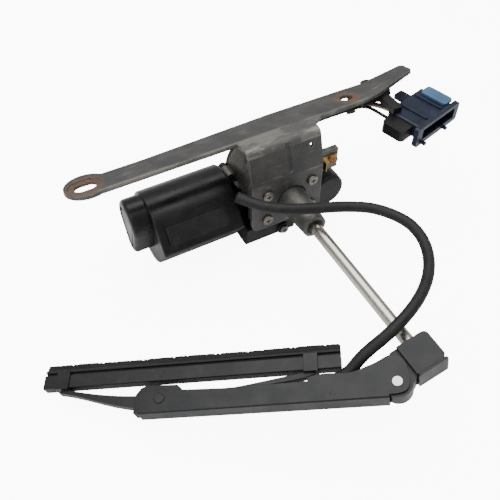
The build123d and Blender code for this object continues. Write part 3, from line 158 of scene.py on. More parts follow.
def math_node(tree, operation, a, b=0.0, clamp=False):
    """Output of a math node."""
    return add(tree, "ShaderNodeMath", {0: a, 1: b}, operation=operation, use_clamp=clamp).outputs[0]


def place(tree, scale=(1.0, 1.0, 1.0)):
    """Object coordinates in millimetres, stretched by a scale per axis."""
    coordinates = add(tree, "ShaderNodeTexCoord").outputs["Object"]
    size = [1000.0 * s for s in scale]
    return add(tree, "ShaderNodeMapping", {"Vector": coordinates, "Scale": size}).outputs[0]


def noise(tree, per_mm, detail=4.0, stretch=(1.0, 1.0, 1.0), rough=0.55):
    """Noise with so many features per millimetre."""
    return add(tree, "ShaderNodeTexNoise", {"Vector": place(tree, stretch), "Scale": per_mm,
                                            "Detail": detail, "Roughness": rough}).outputs["Fac"]


def ramp(tree, value, low, high, start=0.0, end=1.0):
    """Smooth step of a value between two levels."""
    links = {"Value": value, "From Min": low, "From Max": high, "To Min": start, "To Max": end}
    return add(tree, "ShaderNodeMapRange", links, interpolation_type="SMOOTHSTEP").outputs[0]


def mix(tree, factor, a, b):
    """Colour mixed from a to b by a factor."""
    node = add(tree, "ShaderNodeMix", {0: factor}, data_type="RGBA")
    for socket, value in ((node.inputs[6], a), (node.inputs[7], b)):
        if isinstance(value, bpy.types.NodeSocket):
            tree.links.new(value, socket)
        else:
            socket.default_value = value
    return node.outputs[2]


def edges(tree, radius_mm, low=0.02, high=0.25):
    """1 on outer and inner edges, 0 on flats, from a rounded normal."""
    soft = add(tree, "ShaderNodeBevel", {"Radius": radius_mm * MM}, samples=6).outputs[0]
    hard = add(tree, "ShaderNodeNewGeometry").outputs["Normal"]
    dot = add(tree, "ShaderNodeVectorMath", {0: soft, 1: hard}, operation="DOT_PRODUCT").outputs["Value"]
    return ramp(tree, math_node(tree, "SUBTRACT", 1.0, dot), low, high)


def near(tree, point, inner_mm, outer_mm):
    """1 within the inner distance of a point in the row frame, fading to 0 at the outer distance."""
    distance = add(tree, "ShaderNodeVectorMath", {0: place(tree), 1: tuple(1000 * c for c in point)},
                   operation="DISTANCE").outputs["Value"]
    return ramp(tree, distance, inner_mm, outer_mm, 1.0, 0.0)


def row_axis(tree, axis):
    """One coordinate of the row frame, in millimetres."""
    return add(tree, "ShaderNodeSeparateXYZ", {0: place(tree)}).outputs[axis]


def rounded(tree, radius_mm, height=None, depth_mm=0.05):
    """Normal with softened edges and a bump on top."""
    soft = add(tree, "ShaderNodeBevel", {"Radius": radius_mm * MM}, samples=6).outputs[0]
    if height is None:
        return soft
    links = {"Height": height, "Normal": soft, "Strength": 1.0, "Distance": depth_mm * MM}
    return add(tree, "ShaderNodeBump", links).outputs[0]


def new_material(name):
    """Empty node material with its surface shader."""
    material = bpy.data.materials.new(name)
    material.use_nodes = True
    tree = material.node_tree
    tree.nodes.clear()
    shader = add(tree, "ShaderNodeBsdfPrincipled")
    add(tree, "ShaderNodeOutputMaterial", {"Surface": shader.outputs[0]})
    return material, tree, shader


def feed(tree, shader, **values):
    """Sets or links the shader's inputs; underscores stand for blanks."""
    for name, value in values.items():
        socket = shader.inputs[name.replace("_", " ")]
        if isinstance(value, bpy.types.NodeSocket):
            tree.links.new(value, socket)
        else:
            socket.default_value = value


# ---------------------------------------------------------------- materials
def bracket_paint():
    """Pressed steel under thin dark grey paint: worn bright on bends and edges, a painted highlight in
    streaks where Y is below -10.5 mm and Z above 2 mm, rust round the holes.
    """
    material, tree, shader = new_material("bracket_paint")
    patches = noise(tree, 0.06, 6)
    grain = noise(tree, 0.9, 5)
    scratches = noise(tree, 0.5, 3, (0.12, 1.6, 1.0), 0.7)
    paint = mix(tree, ramp(tree, patches, 0.35, 0.7), linear("2c2c2c"), linear("3b3a38"))
    paint = mix(tree, ramp(tree, grain, 0.55, 0.75, 0.0, 0.35), paint, linear("4b4946"))
    worn = math_node(tree, "MULTIPLY", edges(tree, 1.6), ramp(tree, grain, 0.35, 0.6))
    scuff = math_node(tree, "MULTIPLY", ramp(tree, scratches, 0.58, 0.72), ramp(tree, patches, 0.42, 0.6))
    lightened = math_node(tree, "MAXIMUM", worn, math_node(tree, "MULTIPLY", scuff, 0.8))
    # painted highlight, not wear: where Y is below -10.5 mm and Z above 2 mm the paint is lightened in
    # streaks to metallic grey
    highlight_region = math_node(tree, "MULTIPLY", ramp(tree, row_axis(tree, "Y"), -8.5, -10.5),
                     ramp(tree, row_axis(tree, "Z"), 1.0, 2.0))
    highlight_streaks = ramp(tree, noise(tree, 0.12, 7, (0.5, 1.0, 1.0)), 0.4, 0.6, 0.15, 0.9)
    painted_highlight = math_node(tree, "MULTIPLY", highlight_region, highlight_streaks)
    # the lightened mask holds the edge wear and scuffs together with the painted highlight
    lightened = math_node(tree, "MAXIMUM", lightened, painted_highlight)
    colour = mix(tree, lightened, paint, linear("7f7c76"))
    rings = math_node(tree, "MAXIMUM", near(tree, ROUND_HOLE, 7.0, 11.0), near(tree, SLOT, 9.0, 13.5))
    rust = math_node(tree, "MULTIPLY", rings, ramp(tree, noise(tree, 0.35, 7), 0.36, 0.58))
    spots = math_node(tree, "MULTIPLY", ramp(tree, noise(tree, 0.22, 7), 0.66, 0.74), 0.6)
    rust = math_node(tree, "MAXIMUM", rust, spots)
    colour = mix(tree, rust, colour, mix(tree, grain, linear("3f2b1f"), linear("6f5039")))
    rough = math_node(tree, "ADD", ramp(tree, grain, 0.3, 0.7, 0.42, 0.62),
                      math_node(tree, "MULTIPLY", rust, 0.25), True)
    feed(tree, shader, Base_Color=colour, Roughness=rough, Metallic=math_node(tree, "MULTIPLY", lightened, 0.75),
         Normal=rounded(tree, 0.5, math_node(tree, "ADD", grain, patches), 0.12))
    return material


def coated(name, dark, light, rough, bump_mm, edge="9a9a98", wear=0.5, per_mm=1.2):
    """Satin coat on metal: cloudy colour, fine orange peel, worn edges and a few light scratches."""
    material, tree, shader = new_material(name)
    cloud = noise(tree, 0.08, 5)
    grain = noise(tree, per_mm, 4)
    scratch = ramp(tree, noise(tree, 0.7, 2, (0.15, 1.2, 1.2), 0.8), 0.70, 0.76)
    colour = mix(tree, ramp(tree, cloud, 0.3, 0.7), linear(dark), linear(light))
    worn = math_node(tree, "MULTIPLY", edges(tree, 0.7, 0.03, 0.3), ramp(tree, grain, 0.4, 0.62, 0.0, wear))
    worn = math_node(tree, "MAXIMUM", worn, math_node(tree, "MULTIPLY", scratch, wear * 0.4))
    colour = mix(tree, worn, colour, linear(edge))
    feed(tree, shader, Base_Color=colour, Metallic=math_node(tree, "MULTIPLY", worn, 0.6),
         Specular_IOR_Level=BLACK_SHEEN,
         Roughness=ramp(tree, cloud, 0.3, 0.7, rough - 0.06, rough + 0.08),
         Normal=rounded(tree, 0.35, grain, bump_mm))
    return material


def moulded(name, dark, light, rough, bump_mm=0.03, per_mm=2.5, dust="55544f", dusty=0.12):
    """Injection-moulded plastic: spark-eroded grain, slight sheen changes and dust in random patches."""
    material, tree, shader = new_material(name)
    cloud = noise(tree, 0.05, 5)
    grain = noise(tree, per_mm, 3)
    colour = mix(tree, ramp(tree, cloud, 0.3, 0.7), linear(dark), linear(light))
    film = math_node(tree, "MULTIPLY", ramp(tree, noise(tree, 0.15, 8, rough=0.7), 0.48, 0.75), dusty)
    colour = mix(tree, film, colour, linear(dust))
    feed(tree, shader, Base_Color=colour, Roughness=ramp(tree, cloud, 0.3, 0.7, rough - 0.07, rough + 0.09),
         Specular_IOR_Level=BLACK_SHEEN,
         Normal=rounded(tree, 0.4, grain, bump_mm))
    return material


def rubber(name, dark, light, rough, bloom=0.2):
    """Cured rubber: matt, with a grey bloom, fine pitting and scuffed marks."""
    material, tree, shader = new_material(name)
    pits = noise(tree, 3.0, 4)
    cloud = noise(tree, 0.12, 7, rough=0.65)
    colour = mix(tree, ramp(tree, cloud, 0.35, 0.7), linear(dark), linear(light))
    marks = math_node(tree, "MULTIPLY", ramp(tree, noise(tree, 0.6, 6), 0.58, 0.72), bloom)
    colour = mix(tree, marks, colour, linear("5a5a58"))
    feed(tree, shader, Base_Color=colour, Roughness=ramp(tree, cloud, 0.3, 0.7, rough - 0.05, rough + 0.08),
         Specular_IOR_Level=BLACK_SHEEN,
         Normal=rounded(tree, 0.15, pits, 0.03))
    return material


def metal(name, dark, light, rough, stretch=(1.0, 1.0, 1.0), bump_mm=0.01, per_mm=1.5, tarnish="6d6356",
          aged=0.2):
    """Bare metal: base colours of the metal, tool marks along one direction and patches of tarnish."""
    material, tree, shader = new_material(name)
    marks = noise(tree, per_mm, 4, stretch, 0.7)
    cloud = noise(tree, 0.1, 6)
    colour = mix(tree, ramp(tree, marks, 0.3, 0.7), linear(dark), linear(light))
    old = math_node(tree, "MULTIPLY", ramp(tree, cloud, 0.5, 0.68), aged)
    colour = mix(tree, old, colour, linear(tarnish))
    feed(tree, shader, Base_Color=colour, Metallic=1.0,
         Roughness=math_node(tree, "ADD", ramp(tree, marks, 0.3, 0.7, rough - 0.08, rough + 0.08),
                             math_node(tree, "MULTIPLY", old, 0.5), True),
         Normal=rounded(tree, 0.25, marks, bump_mm))
    return material


def cast_aluminium():
    """Die-cast aluminium, shot-blasted: grainy, dull grey, darker in random patches."""
    material, tree, shader = new_material("cast_aluminium")
    grain = noise(tree, 1.6, 6)
    cloud = noise(tree, 0.09, 6)
    colour = mix(tree, ramp(tree, cloud, 0.3, 0.7), linear("4f4f4e"), linear("66655f"))
    dirt = math_node(tree, "MULTIPLY", ramp(tree, noise(tree, 0.3, 7), 0.5, 0.72), 0.5)
    colour = mix(tree, dirt, colour, linear("383530"))
    feed(tree, shader, Base_Color=colour, Metallic=0.85, Roughness=ramp(tree, grain, 0.3, 0.7, 0.40, 0.60),
         Normal=rounded(tree, 0.5, grain, 0.06))
    return material


def rusty_steel():
    """Plain steel screw under a crust of rust."""
    material, tree, shader = new_material("rusty_steel")
    crust = noise(tree, 0.9, 8)
    colour = mix(tree, ramp(tree, crust, 0.35, 0.65), linear("5a3a26"), linear("a8764b"))
    lightened = math_node(tree, "MULTIPLY", edges(tree, 0.5), 0.5)
    colour = mix(tree, lightened, colour, linear("8f8a83"))
    feed(tree, shader, Base_Color=colour, Metallic=ramp(tree, crust, 0.5, 0.7, 0.0, 0.5), Roughness=0.75,
         Normal=rounded(tree, 0.3, crust, 0.15))
    return material


def all_materials():
    """Every material by its slot in the record."""
    made = {
        "bracket_paint": bracket_paint(),
        "cast_aluminium": cast_aluminium(),
        "rusty_steel": rusty_steel(),
        "arm_paint": coated("arm_paint", "08090b", "101114", 0.36, 0.02, "5c5d60", 0.4),
        "motor_steel": coated("motor_steel", "111112", "1a1a1c", 0.42, 0.03),
        "black_plastic": moulded("black_plastic", "0d0d0e", "171718", 0.46),
        "satin_black_plastic": moulded("satin_black_plastic", "0c0c0d", "151517", 0.34, 0.02),
        "white_nylon": moulded("white_nylon", "d8d2bf", "e4dfd0", 0.45),
        "label": moulded("label", "19191b", "232325", 0.30, 0.01),
        "circuit_board": moulded("circuit_board", "6a4f22", "7a5d2c", 0.5),
        "ferrite": moulded("ferrite", "232324", "303032", 0.6, 0.05),
        "blue_plastic": moulded("blue_plastic", "0f1522", "182236", 0.38, 0.02),
        "light_blue_plastic": moulded("light_blue_plastic", "3f5b78", "4d6b88", 0.42, 0.02),
        "black_rubber": rubber("black_rubber", "0f0f10", "1a1a1b", 0.60, 0.15),
        "hose_rubber": rubber("hose_rubber", "141415", "202021", 0.58, 0.18),
        "zinc_steel": metal("zinc_steel", "65635f", "85827b", 0.36, aged=0.4),
        "stainless_steel": metal("stainless_steel", "a8a49c", "c9c5bc", 0.24, (0.3, 3.0, 0.3), aged=0.1),
        "sintered_bronze": metal("sintered_bronze", "8a6a3c", "a98450", 0.45, aged=0.3),
        "copper": metal("copper", "a35d3a", "c47a50", 0.32, aged=0.15),
        "brass": metal("brass", "7d6534", "9a804a", 0.36, aged=0.35),
        "black_wire": moulded("black_wire", "101011", "181819", 0.33, 0.01),
        "brown_wire": moulded("brown_wire", "2c1a1d", "3a2427", 0.35, 0.01),
        "yellow_wire": moulded("yellow_wire", "c9bb86", "ddd09c", 0.38, 0.01, dusty=0.25),
    }
    return made


def paint(thing, material):
    """Gives a mesh or curve one material."""
    thing.data.materials.clear()
    thing.data.materials.append(material)


# ---------------------------------------------------------------- mesh helpers
def mesh_object(name, vertices, faces):
    """Object at the origin from arrays of vertices and faces."""
    mesh = bpy.data.meshes.new(name)
    mesh.from_pydata(np.asarray(vertices, float).tolist(), [], [tuple(f) for f in faces])
    mesh.validate()
    edit = bmesh.new()
    edit.from_mesh(mesh)
    bmesh.ops.recalc_face_normals(edit, faces=edit.faces)
    edit.to_mesh(mesh)
    edit.free()
    mesh.polygons.foreach_set("use_smooth", [True] * len(mesh.polygons))
    thing = bpy.data.objects.new(name, mesh)
    bpy.context.scene.collection.objects.link(thing)
    return thing


def grid_faces(rows, columns, closed_rows=False, closed_columns=True):
    """Quads of a grid whose points are numbered row by row."""
    r = np.arange(rows if closed_rows else rows - 1)
    c = np.arange(columns if closed_columns else columns - 1)
    r, c = np.meshgrid(r, c, indexing="ij")
    r2, c2 = (r + 1) % rows, (c + 1) % columns
    quads = np.stack((r * columns + c, r * columns + c2, r2 * columns + c2, r2 * columns + c), axis=-1)
    return quads.reshape(-1, 4).tolist()


def surface(name, grid, capped=True, closed_rows=False):
    """Closed surface from rows of points: rows are rings; the first and last ring get a flat cap."""
    rows, columns = grid.shape[:2]
    faces = grid_faces(rows, columns, closed_rows)
    if capped and not closed_rows:
        faces.append(list(range(columns))[::-1])
        faces.append(list(range((rows - 1) * columns, rows * columns)))
    return mesh_object(name, grid.reshape(-1, 3), faces)


def path_frames(path):
    """Tangent, side and up vectors along a path, carried without twist from one point to the next."""
    tangent = np.gradient(path, axis=0)
    tangent /= np.linalg.norm(tangent, axis=1)[:, None]
    side = np.cross(tangent[0], (0.0, 0.0, 1.0))
    sides = []
    for t in tangent:
        side = side - t * np.dot(side, t)
        side /= np.linalg.norm(side)
        sides.append(side)
    sides = np.array(sides)
    return tangent, sides, np.cross(sides, tangent)


def tube_grid(path, radius, columns=28):
    """Rings of a round tube along a path: centre + radius (cos a side + sin a up)."""
    _, side, up = path_frames(path)
    angle = np.linspace(0, 2 * math.pi, columns, endpoint=False)
    radius = np.broadcast_to(radius, (len(path),))
    ring = np.cos(angle)[None, :, None] * side[:, None] + np.sin(angle)[None, :, None] * up[:, None]
    return path[:, None] + ring * radius[:, None, None]


def spline_points(name, route, steps=14):
    """Points along a quadratic NURBS curve with the route as control points."""
    curve = bpy.data.curves.new(name, "CURVE")
    curve.dimensions = "3D"
    spline = curve.splines.new("NURBS")
    spline.points.add(len(route) - 1)
    spline.points.foreach_set("co", np.column_stack((np.array(route), np.ones(len(route)))).ravel())
    spline.order_u = 3
    spline.use_endpoint_u = True
    spline.resolution_u = steps
    thing = bpy.data.objects.new(name, curve)
    bpy.context.scene.collection.objects.link(thing)
    bpy.context.view_layer.update()
    mesh = bpy.data.meshes.new_from_object(thing)
    points = np.empty(len(mesh.vertices) * 3)
    mesh.vertices.foreach_get("co", points)
    bpy.data.meshes.remove(mesh)
    bpy.data.objects.remove(thing)
    bpy.data.curves.remove(curve)
    points = points.reshape(-1, 3)
    keep = np.ones(len(points), bool)
    keep[1:] = np.linalg.norm(np.diff(points, axis=0), axis=1) > 1e-6
    return points[keep]


# ---------------------------------------------------------------- pieces
def hose_points():
    """The washer hose's line from its cut end to the nozzle."""
    return spline_points("hose_line", list(HOSE_ROUTE) + [tuple(in_arm(p)) for p in HOSE_IN_ARM])


def make_hose(sizes, materials):
    """Hose wall as one closed skin: rings out along the line, then back along it at the bore's radius."""
    path = hose_points()
    outer = tube_grid(path, sizes.hose_diameter / 2, 36)
    inner = tube_grid(path, sizes.hose_bore / 2, 36)[::-1]
    hose = surface("washer_hose_skin", np.concatenate((outer, inner)), closed_rows=True)
    paint(hose, materials["hose_rubber"])
    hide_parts("washer_hose")
    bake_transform(hose)
    return hose


def wire_ends():
    """Start, heading and end of the four wires, as the CAD part has them."""
    sleeve_end = SLEEVE_ROUTE[-1]
    heading = sleeve_end - SLEEVE_ROUTE[-2]
    heading /= np.linalg.norm(heading)
    left = np.cross((0.0, 0.0, 1.0), heading)
    left /= np.linalg.norm(left)
    up = np.cross(heading, left)
    pitch = 1.22 * MM
    ends = []
    for i, way in enumerate(PLUG_WAYS):
        side = -pitch if i < 2 else pitch
        level, row = (pitch, PLUG_ROW) if i % 2 else (-pitch, -PLUG_ROW)
        start = sleeve_end + left * side + up * level
        end = PLUG_ORIGIN + PLUG_X * way * MM + PLUG_Y * PLUG_DEPTH + np.array((0, 0, row * MM))
        ends.append((start, start + heading * 7 * MM, end + PLUG_Y * 8 * MM, end))
    return ends


def make_wires(sizes, materials):
    """Insulated wires from the sleeve to the plug, each a tube along its line."""
    names = ("wire_black_lower", "wire_brown", "wire_yellow", "wire_black")
    slots = ("black_wire", "brown_wire", "yellow_wire", "black_wire")
    for name, slot, route in zip(names, slots, wire_ends()):
        path = spline_points(name + "_line", route)
        skin = surface(name + "_skin", tube_grid(path, sizes.wire_diameter / 2, 20))
        paint(skin, materials[slot])
        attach(skin, BODY_ROOT)
        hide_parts(name)


def hull_outline(rounds, count=180):
    """Points and normals round the hull of circles given as y, z and radius, evenly spaced. Each
    direction's point is on the circle that reaches farthest that way."""
    rounds = np.array(rounds)
    angle = np.linspace(0, 2 * math.pi, 1440, endpoint=False)
    normal = np.column_stack((np.cos(angle), np.sin(angle)))
    reach = rounds[:, :2] @ normal.T + rounds[:, 2:]
    farthest = rounds[np.argmax(reach, axis=0)]
    points = farthest[:, :2] + farthest[:, 2:] * normal
    closed = np.vstack((points, points[:1]))
    normals = np.vstack((normal, normal[:1]))
    along = np.concatenate(([0], np.cumsum(np.linalg.norm(np.diff(closed, axis=0), axis=1))))
    wanted = np.linspace(0, along[-1], count, endpoint=False)
    points = np.column_stack([np.interp(wanted, along, closed[:, i]) for i in (0, 1)])
    normals = np.column_stack([np.interp(wanted, along, normals[:, i]) for i in (0, 1)])
    return points, normals / np.linalg.norm(normals, axis=1)[:, None]


def outline_grid(points, normals, x, inward):
    """Rows of an outline in the YZ plane at each x, moved inward along its normals."""
    grid = np.empty((len(x), len(points), 3))
    grid[..., 0] = np.asarray(x)[:, None]
    grid[..., 1:] = points[None] - normals[None] * inward[..., None]
    return grid


def smooth_step(x, low, high):
    """0 below low, 1 above high, smooth between."""
    t = np.clip((x - low) / (high - low), 0, 1)
    return t * t * (3 - 2 * t)


def make_motor_cover(sizes, materials):
    """Jacket over the can: the outline swept along X, drawn in at both ends by a quarter circle, with a
    shallow panel below a wavy line on the flat and a rectangular recess for the label."""
    points, normals = hull_outline((CAN_ROUND, CROWN_ROUND, PROW_ROUND), 260)
    corner = sizes.cover_corner
    turn = np.linspace(0, math.pi / 2, 8)
    body = np.linspace(COVER_LEFT + corner, COVER_RIGHT - corner, 150)
    x = np.concatenate((COVER_LEFT + corner * (1 - np.cos(turn)), body[1:-1],
                        COVER_RIGHT - corner * (1 - np.cos(turn[::-1]))))
    inset = np.concatenate((corner * (1 - np.sin(turn)), np.zeros(len(body) - 2),
                            corner * (1 - np.sin(turn[::-1]))))
    prow = np.array(PROW_ROUND[:2])
    across = np.array(CROWN_ROUND[:2]) - prow
    fall = (CROWN_ROUND[2] - PROW_ROUND[2]) / np.linalg.norm(across)
    tilt = math.atan2(across[1], across[0]) + math.acos(-fall)
    flat_normal = np.array((math.cos(tilt), math.sin(tilt)))
    flat_along = np.array((math.sin(tilt), -math.cos(tilt)))
    up = (points - prow) @ flat_along
    on_flat = smooth_step(normals @ flat_normal, 0.93, 0.99)
    xx, qq = np.meshgrid(x, up, indexing="ij")
    wave = 20.6 * MM + 1.6 * MM * np.tanh((xx - LABEL_X) / (5 * MM))
    panel = smooth_step(wave - qq, 0, 0.5 * MM) * smooth_step(xx - COVER_LEFT, 5 * MM, 5.5 * MM)
    label = smooth_step(LABEL_LENGTH / 2 - np.abs(xx - LABEL_X), 0, 0.3 * MM)
    label = label * smooth_step(LABEL_HEIGHT / 2 - np.abs(qq - LABEL_UP), 0, 0.3 * MM)
    depth = np.maximum(0.35 * MM * panel, sizes.label_recess * label) * on_flat[None, :]
    cover = surface("motor_cover_skin", outline_grid(points, normals, x, inset[:, None] + depth))
    cover.data.set_sharp_from_angle(angle=math.radians(35))
    paint(cover, materials["satin_black_plastic"])
    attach(cover, BODY_ROOT)
    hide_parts("motor_cover")


def make_end_cap(sizes, materials):
    """Cap on the cover's end: the hull of two circles run along X, its outer edge rounded by a quarter
    circle, with a raised rim round a sunk face."""
    points, normals = hull_outline(CAP_ROUNDS, 160)
    left = COVER_LEFT - CAP_LENGTH
    corner = sizes.cap_corner
    turn = np.linspace(0, math.pi / 2, 10)
    x = [COVER_LEFT, COVER_LEFT, *(left + corner * (1 - np.sin(turn)))]
    inset = [3 * MM, 0.0, *(corner * (1 - np.cos(turn)))]
    for step, depth in ((4.0, 0.0), (4.3, 0.9), (6.0, 0.9), (6.3, 0.3), (7.4, 0.3)):
        x.append(left + depth * MM)
        inset.append(step * MM)
    inward = np.repeat(np.array(inset)[:, None], len(points), axis=1)
    cap = surface("end_cap_skin", outline_grid(points, normals, x, inward))
    cap.data.set_sharp_from_angle(angle=math.radians(35))
    paint(cap, materials["satin_black_plastic"])
    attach(cap, BODY_ROOT)
    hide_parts("end_cap")


def make_wiper_rubber(sizes, materials):
    """Rubber profile run along the blade; the lip's two faces carry fine lengthwise ridges, and its edge
    is worn down by the square of a product of sines."""
    lip = LIP_BASE
    half = [(RAIL_HALF, RAIL_FLOOR), (RAIL_HALF, STRIP_FLOOR), (STRIP_INNER, STRIP_FLOOR),
            (STRIP_INNER, STRIP_ROOF), (RAIL_HALF, STRIP_ROOF), (RAIL_HALF, RAIL_ROOF)]
    half += [(NECK_HALF, RAIL_ROOF), (NECK_HALF, lip), (3.0, lip), (3.2, lip + 0.2), (3.2, lip + 1.4),
             (2.9, lip + 1.7), (1.75, lip + 2.5)]
    ridges = np.linspace(RIDGES_START, LIP_EDGE - 0.7, 18)
    half += [(1.65 - 0.8 * (v - RIDGES_START) / 3.6 + 0.07 * (-1) ** i, v) for i, v in enumerate(ridges)]
    half += [(0.62, LIP_EDGE - 0.3), (0.5, LIP_EDGE)]
    outline = half + [(-w, v) for w, v in half[::-1]]
    outline = np.array(outline) * MM
    u = np.linspace(*BLADE_ENDS, 420) * MM
    worn = (np.sin(u / (7.3 * MM)) * np.sin(u / (2.9 * MM) + 1) * np.sin(u / (0.9 * MM))) ** 2
    share = smooth_step(outline[:, 1], (LIP_EDGE - 3.5) * MM, LIP_EDGE * MM)
    height = outline[None, :, 1] - sizes.lip_wear * worn[:, None] * share[None, :]
    lean = outline[None, :, 0] + 0.35 * MM * share[None, :] * np.sin(u / (11 * MM))[:, None]
    grid = (ARM_ORIGIN + ARM_U * u[:, None, None] + ARM_V * height[..., None] + ARM_W * lean[..., None])
    rubber_strip = surface("wiper_rubber_skin", grid)
    rubber_strip.data.set_sharp_from_angle(angle=math.radians(30))
    paint(rubber_strip, materials["black_rubber"])
    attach(rubber_strip, "blade")
    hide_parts("wiper_rubber")


def make_sleeve(sizes, materials):
    """Taped harness sleeve: a tube along the harness whose radius steps with each turn of the tape."""
    path = spline_points("sleeve_line", SLEEVE_ROUTE, 40)
    along = np.concatenate(([0], np.cumsum(np.linalg.norm(np.diff(path, axis=0), axis=1))))
    radius = sizes.sleeve_diameter / 2 - TAPE_STEP * ((along / TAPE_PITCH) % 1.0)
    sleeve = surface("harness_sleeve_skin", tube_grid(path, radius, 28))
    paint(sleeve, materials["black_rubber"])
    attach(sleeve, BODY_ROOT)
    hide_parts("harness_sleeve")


def finish_frame(materials):
    """Gives every CAD node that shows the material of its slot; pins painted with the arm get its paint."""
    for part in frame["record"]["subparts"]:
        node = frame["nodes"][part["node"]]
        slot = "arm_paint" if part["node"] in PAINTED_PINS else part["material_slot"]
        if node.type == "MESH":
            paint(node, materials[slot])


# ---------------------------------------------------------------- stage
def make_stage(look):
    """Pale floor, soft overhead light and the camera."""
    bottom = START_BOUNDS[0][2]
    corners = [(FLOOR_HALF * x, FLOOR_HALF * y, bottom) for x, y in ((-1, -1), (1, -1), (1, 1), (-1, 1))]
    floor = mesh_object("floor", corners, [(0, 1, 2, 3)])
    material, tree, shader = new_material("floor")
    seen = add(tree, "ShaderNodeLightPath").outputs["Is Camera Ray"]
    feed(tree, shader, Base_Color=tuple(look.floor_colour) + (1.0,), Roughness=0.9,
         Emission_Color=(1.0, 1.0, 1.0, 1.0),
         Emission_Strength=math_node(tree, "MULTIPLY", seen, look.floor_glow))
    paint(floor, material)

    world = bpy.data.worlds.new("studio")
    world.use_nodes = True
    background = world.node_tree.nodes["Background"]
    background.inputs["Color"].default_value = (1, 1, 1, 1)
    background.inputs["Strength"].default_value = look.world_strength
    bpy.context.scene.world = world

    lamps = (("top", TOP_LIGHT, TOP_WIDTH, look.top_power),
             ("side", SIDE_LIGHT, SIDE_WIDTH, look.side_power))
    for name, spot, width, power in lamps:
        data = bpy.data.lights.new(name, "AREA")
        data.size = width
        data.energy = power
        lamp = bpy.data.objects.new(name, data)
        lamp.location = spot
        lamp.rotation_euler = (LIGHT_TARGET - spot).to_track_quat("-Z", "Y").to_euler()
        bpy.context.scene.collection.objects.link(lamp)

    data = bpy.data.cameras.new("camera")
    data.sensor_width = 36
    data.lens = look.lens
    camera = bpy.data.objects.new("camera", data)
    camera.location = CAMERA_PLACE
    azimuth, elevation = math.radians(look.azimuth), math.radians(look.elevation)
    aim = Vector((-math.sin(azimuth) * math.cos(elevation), math.cos(azimuth) * math.cos(elevation),
                  -math.sin(elevation)))
    camera.rotation_euler = aim.to_track_quat("-Z", "Y").to_euler()
    bpy.context.scene.collection.objects.link(camera)
    bpy.context.scene.camera = camera


# ---------------------------------------------------------------- add-on
def length_property(name, description, default):
    """A length in metres."""
    return FloatProperty(name=name, description=description, default=default, min=0.0001, unit="LENGTH",
                         precision=5)


class WiperSizes(PropertyGroup):
    """Sizes of the visual pieces."""
    hose_diameter: length_property("Hose diameter", "Outside diameter of the washer hose", 0.0070)
    hose_bore: length_property("Hose bore", "Bore of the washer hose", 0.0040)
    wire_diameter: length_property("Wire diameter", "Outside diameter of a plug wire", 0.0024)
    sleeve_diameter: length_property("Sleeve diameter", "Outside diameter of the harness sleeve", 0.0060)
    cover_corner: length_property("Cover corner", "Corner radius at the motor cover's ends", 0.0016)
    label_recess: length_property("Label recess", "Depth of the label's recess", 0.0006)
    cap_corner: length_property("Cap corner", "Corner radius at the end cap's outer edge", 0.0030)
    lip_wear: length_property("Lip wear", "Deepest nick in the wiper rubber's edge", 0.0009)


class WiperLook(PropertyGroup):
    """Camera, floor and light."""
    floor_colour: FloatVectorProperty(name="Floor", description="Colour of the floor", subtype="COLOR",
                                      default=(0.98, 0.98, 0.98), size=3)
    floor_glow: FloatProperty(name="Floor glow", description="White of the lit paper floor", default=9.0)
    world_strength: FloatProperty(name="World", description="Strength of the white surround", default=0.55)
    top_power: FloatProperty(name="Top light", description="Power of the overhead light, watts", default=16.0)
    side_power: FloatProperty(name="Side light", description="Power of the side light, watts", default=4.0)
    lens: FloatProperty(name="Lens", description="Focal length, mm", default=48.2)
    azimuth: FloatProperty(name="Azimuth", description="Camera azimuth, degrees", default=-28.0)
    elevation: FloatProperty(name="Elevation", description="Camera elevation, degrees", default=49.0)


class BuildStage(Operator):
    """Builds the floor, the light and the camera"""
    bl_idname = "wiper.stage"
    bl_label = "Stage"

    def execute(self, context):
        make_stage(context.scene.wiper_look)
        return {"FINISHED"}


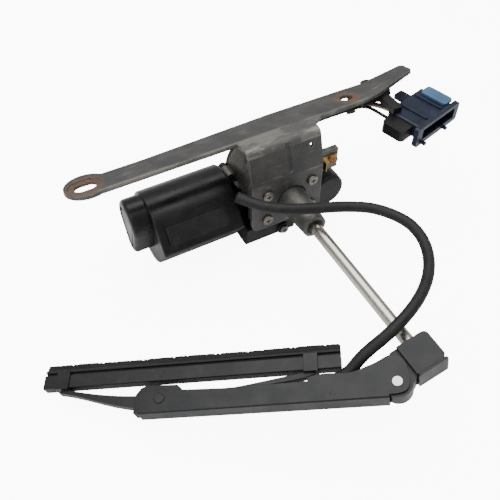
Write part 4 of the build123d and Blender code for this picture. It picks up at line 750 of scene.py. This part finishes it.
class BuildCords(Operator):
    """Builds the washer hose, the harness sleeve and the plug wires"""
    bl_idname = "wiper.cords"
    bl_label = "Hose and wires"

    def execute(self, context):
        sizes, materials = context.scene.wiper_sizes, MATERIALS
        make_hose(sizes, materials)
        make_sleeve(sizes, materials)
        make_wires(sizes, materials)
        return {"FINISHED"}


class BuildMotor(Operator):
    """Builds the motor's cover and end cap"""
    bl_idname = "wiper.motor"
    bl_label = "Motor"

    def execute(self, context):
        sizes, materials = context.scene.wiper_sizes, MATERIALS
        make_motor_cover(sizes, materials)
        make_end_cap(sizes, materials)
        return {"FINISHED"}


class BuildBlade(Operator):
    """Builds the wiper rubber"""
    bl_idname = "wiper.blade"
    bl_label = "Wiper rubber"

    def execute(self, context):
        make_wiper_rubber(context.scene.wiper_sizes, MATERIALS)
        return {"FINISHED"}


class FinishFrame(Operator):
    """Gives the CAD nodes their materials"""
    bl_idname = "wiper.finish"
    bl_label = "Frame materials"

    def execute(self, context):
        finish_frame(MATERIALS)
        return {"FINISHED"}


class WiperPanel(Panel):
    """Sizes, light and the build buttons"""
    bl_idname = "VIEW3D_PT_wiper"
    bl_label = "Headlamp wiper unit"
    bl_space_type = "VIEW_3D"
    bl_region_type = "UI"
    bl_category = "Wiper"

    def draw(self, context):
        for group in (context.scene.wiper_sizes, context.scene.wiper_look):
            for name in group.__annotations__:
                self.layout.prop(group, name)
        for operator in OPERATORS:
            self.layout.operator(operator.bl_idname)


MATERIALS = {}
OPERATORS = (BuildStage, BuildCords, BuildMotor, BuildBlade, FinishFrame)
CLASSES = (WiperSizes, WiperLook) + OPERATORS + (WiperPanel,)


def register():
    """Registers the classes and their settings on the scene."""
    for item in CLASSES:
        bpy.utils.register_class(item)
    bpy.types.Scene.wiper_sizes = PointerProperty(type=WiperSizes)
    bpy.types.Scene.wiper_look = PointerProperty(type=WiperLook)


def unregister():
    """Removes what register added."""
    del bpy.types.Scene.wiper_look
    del bpy.types.Scene.wiper_sizes
    for item in reversed(CLASSES):
        bpy.utils.unregister_class(item)


def main():
    """Builds everything in order."""
    register()
    MATERIALS.update(all_materials())
    bpy.ops.wiper.stage()
    bpy.ops.wiper.cords()
    bpy.ops.wiper.motor()
    bpy.ops.wiper.blade()
    bpy.ops.wiper.finish()


if __name__ == "__main__":
    main()
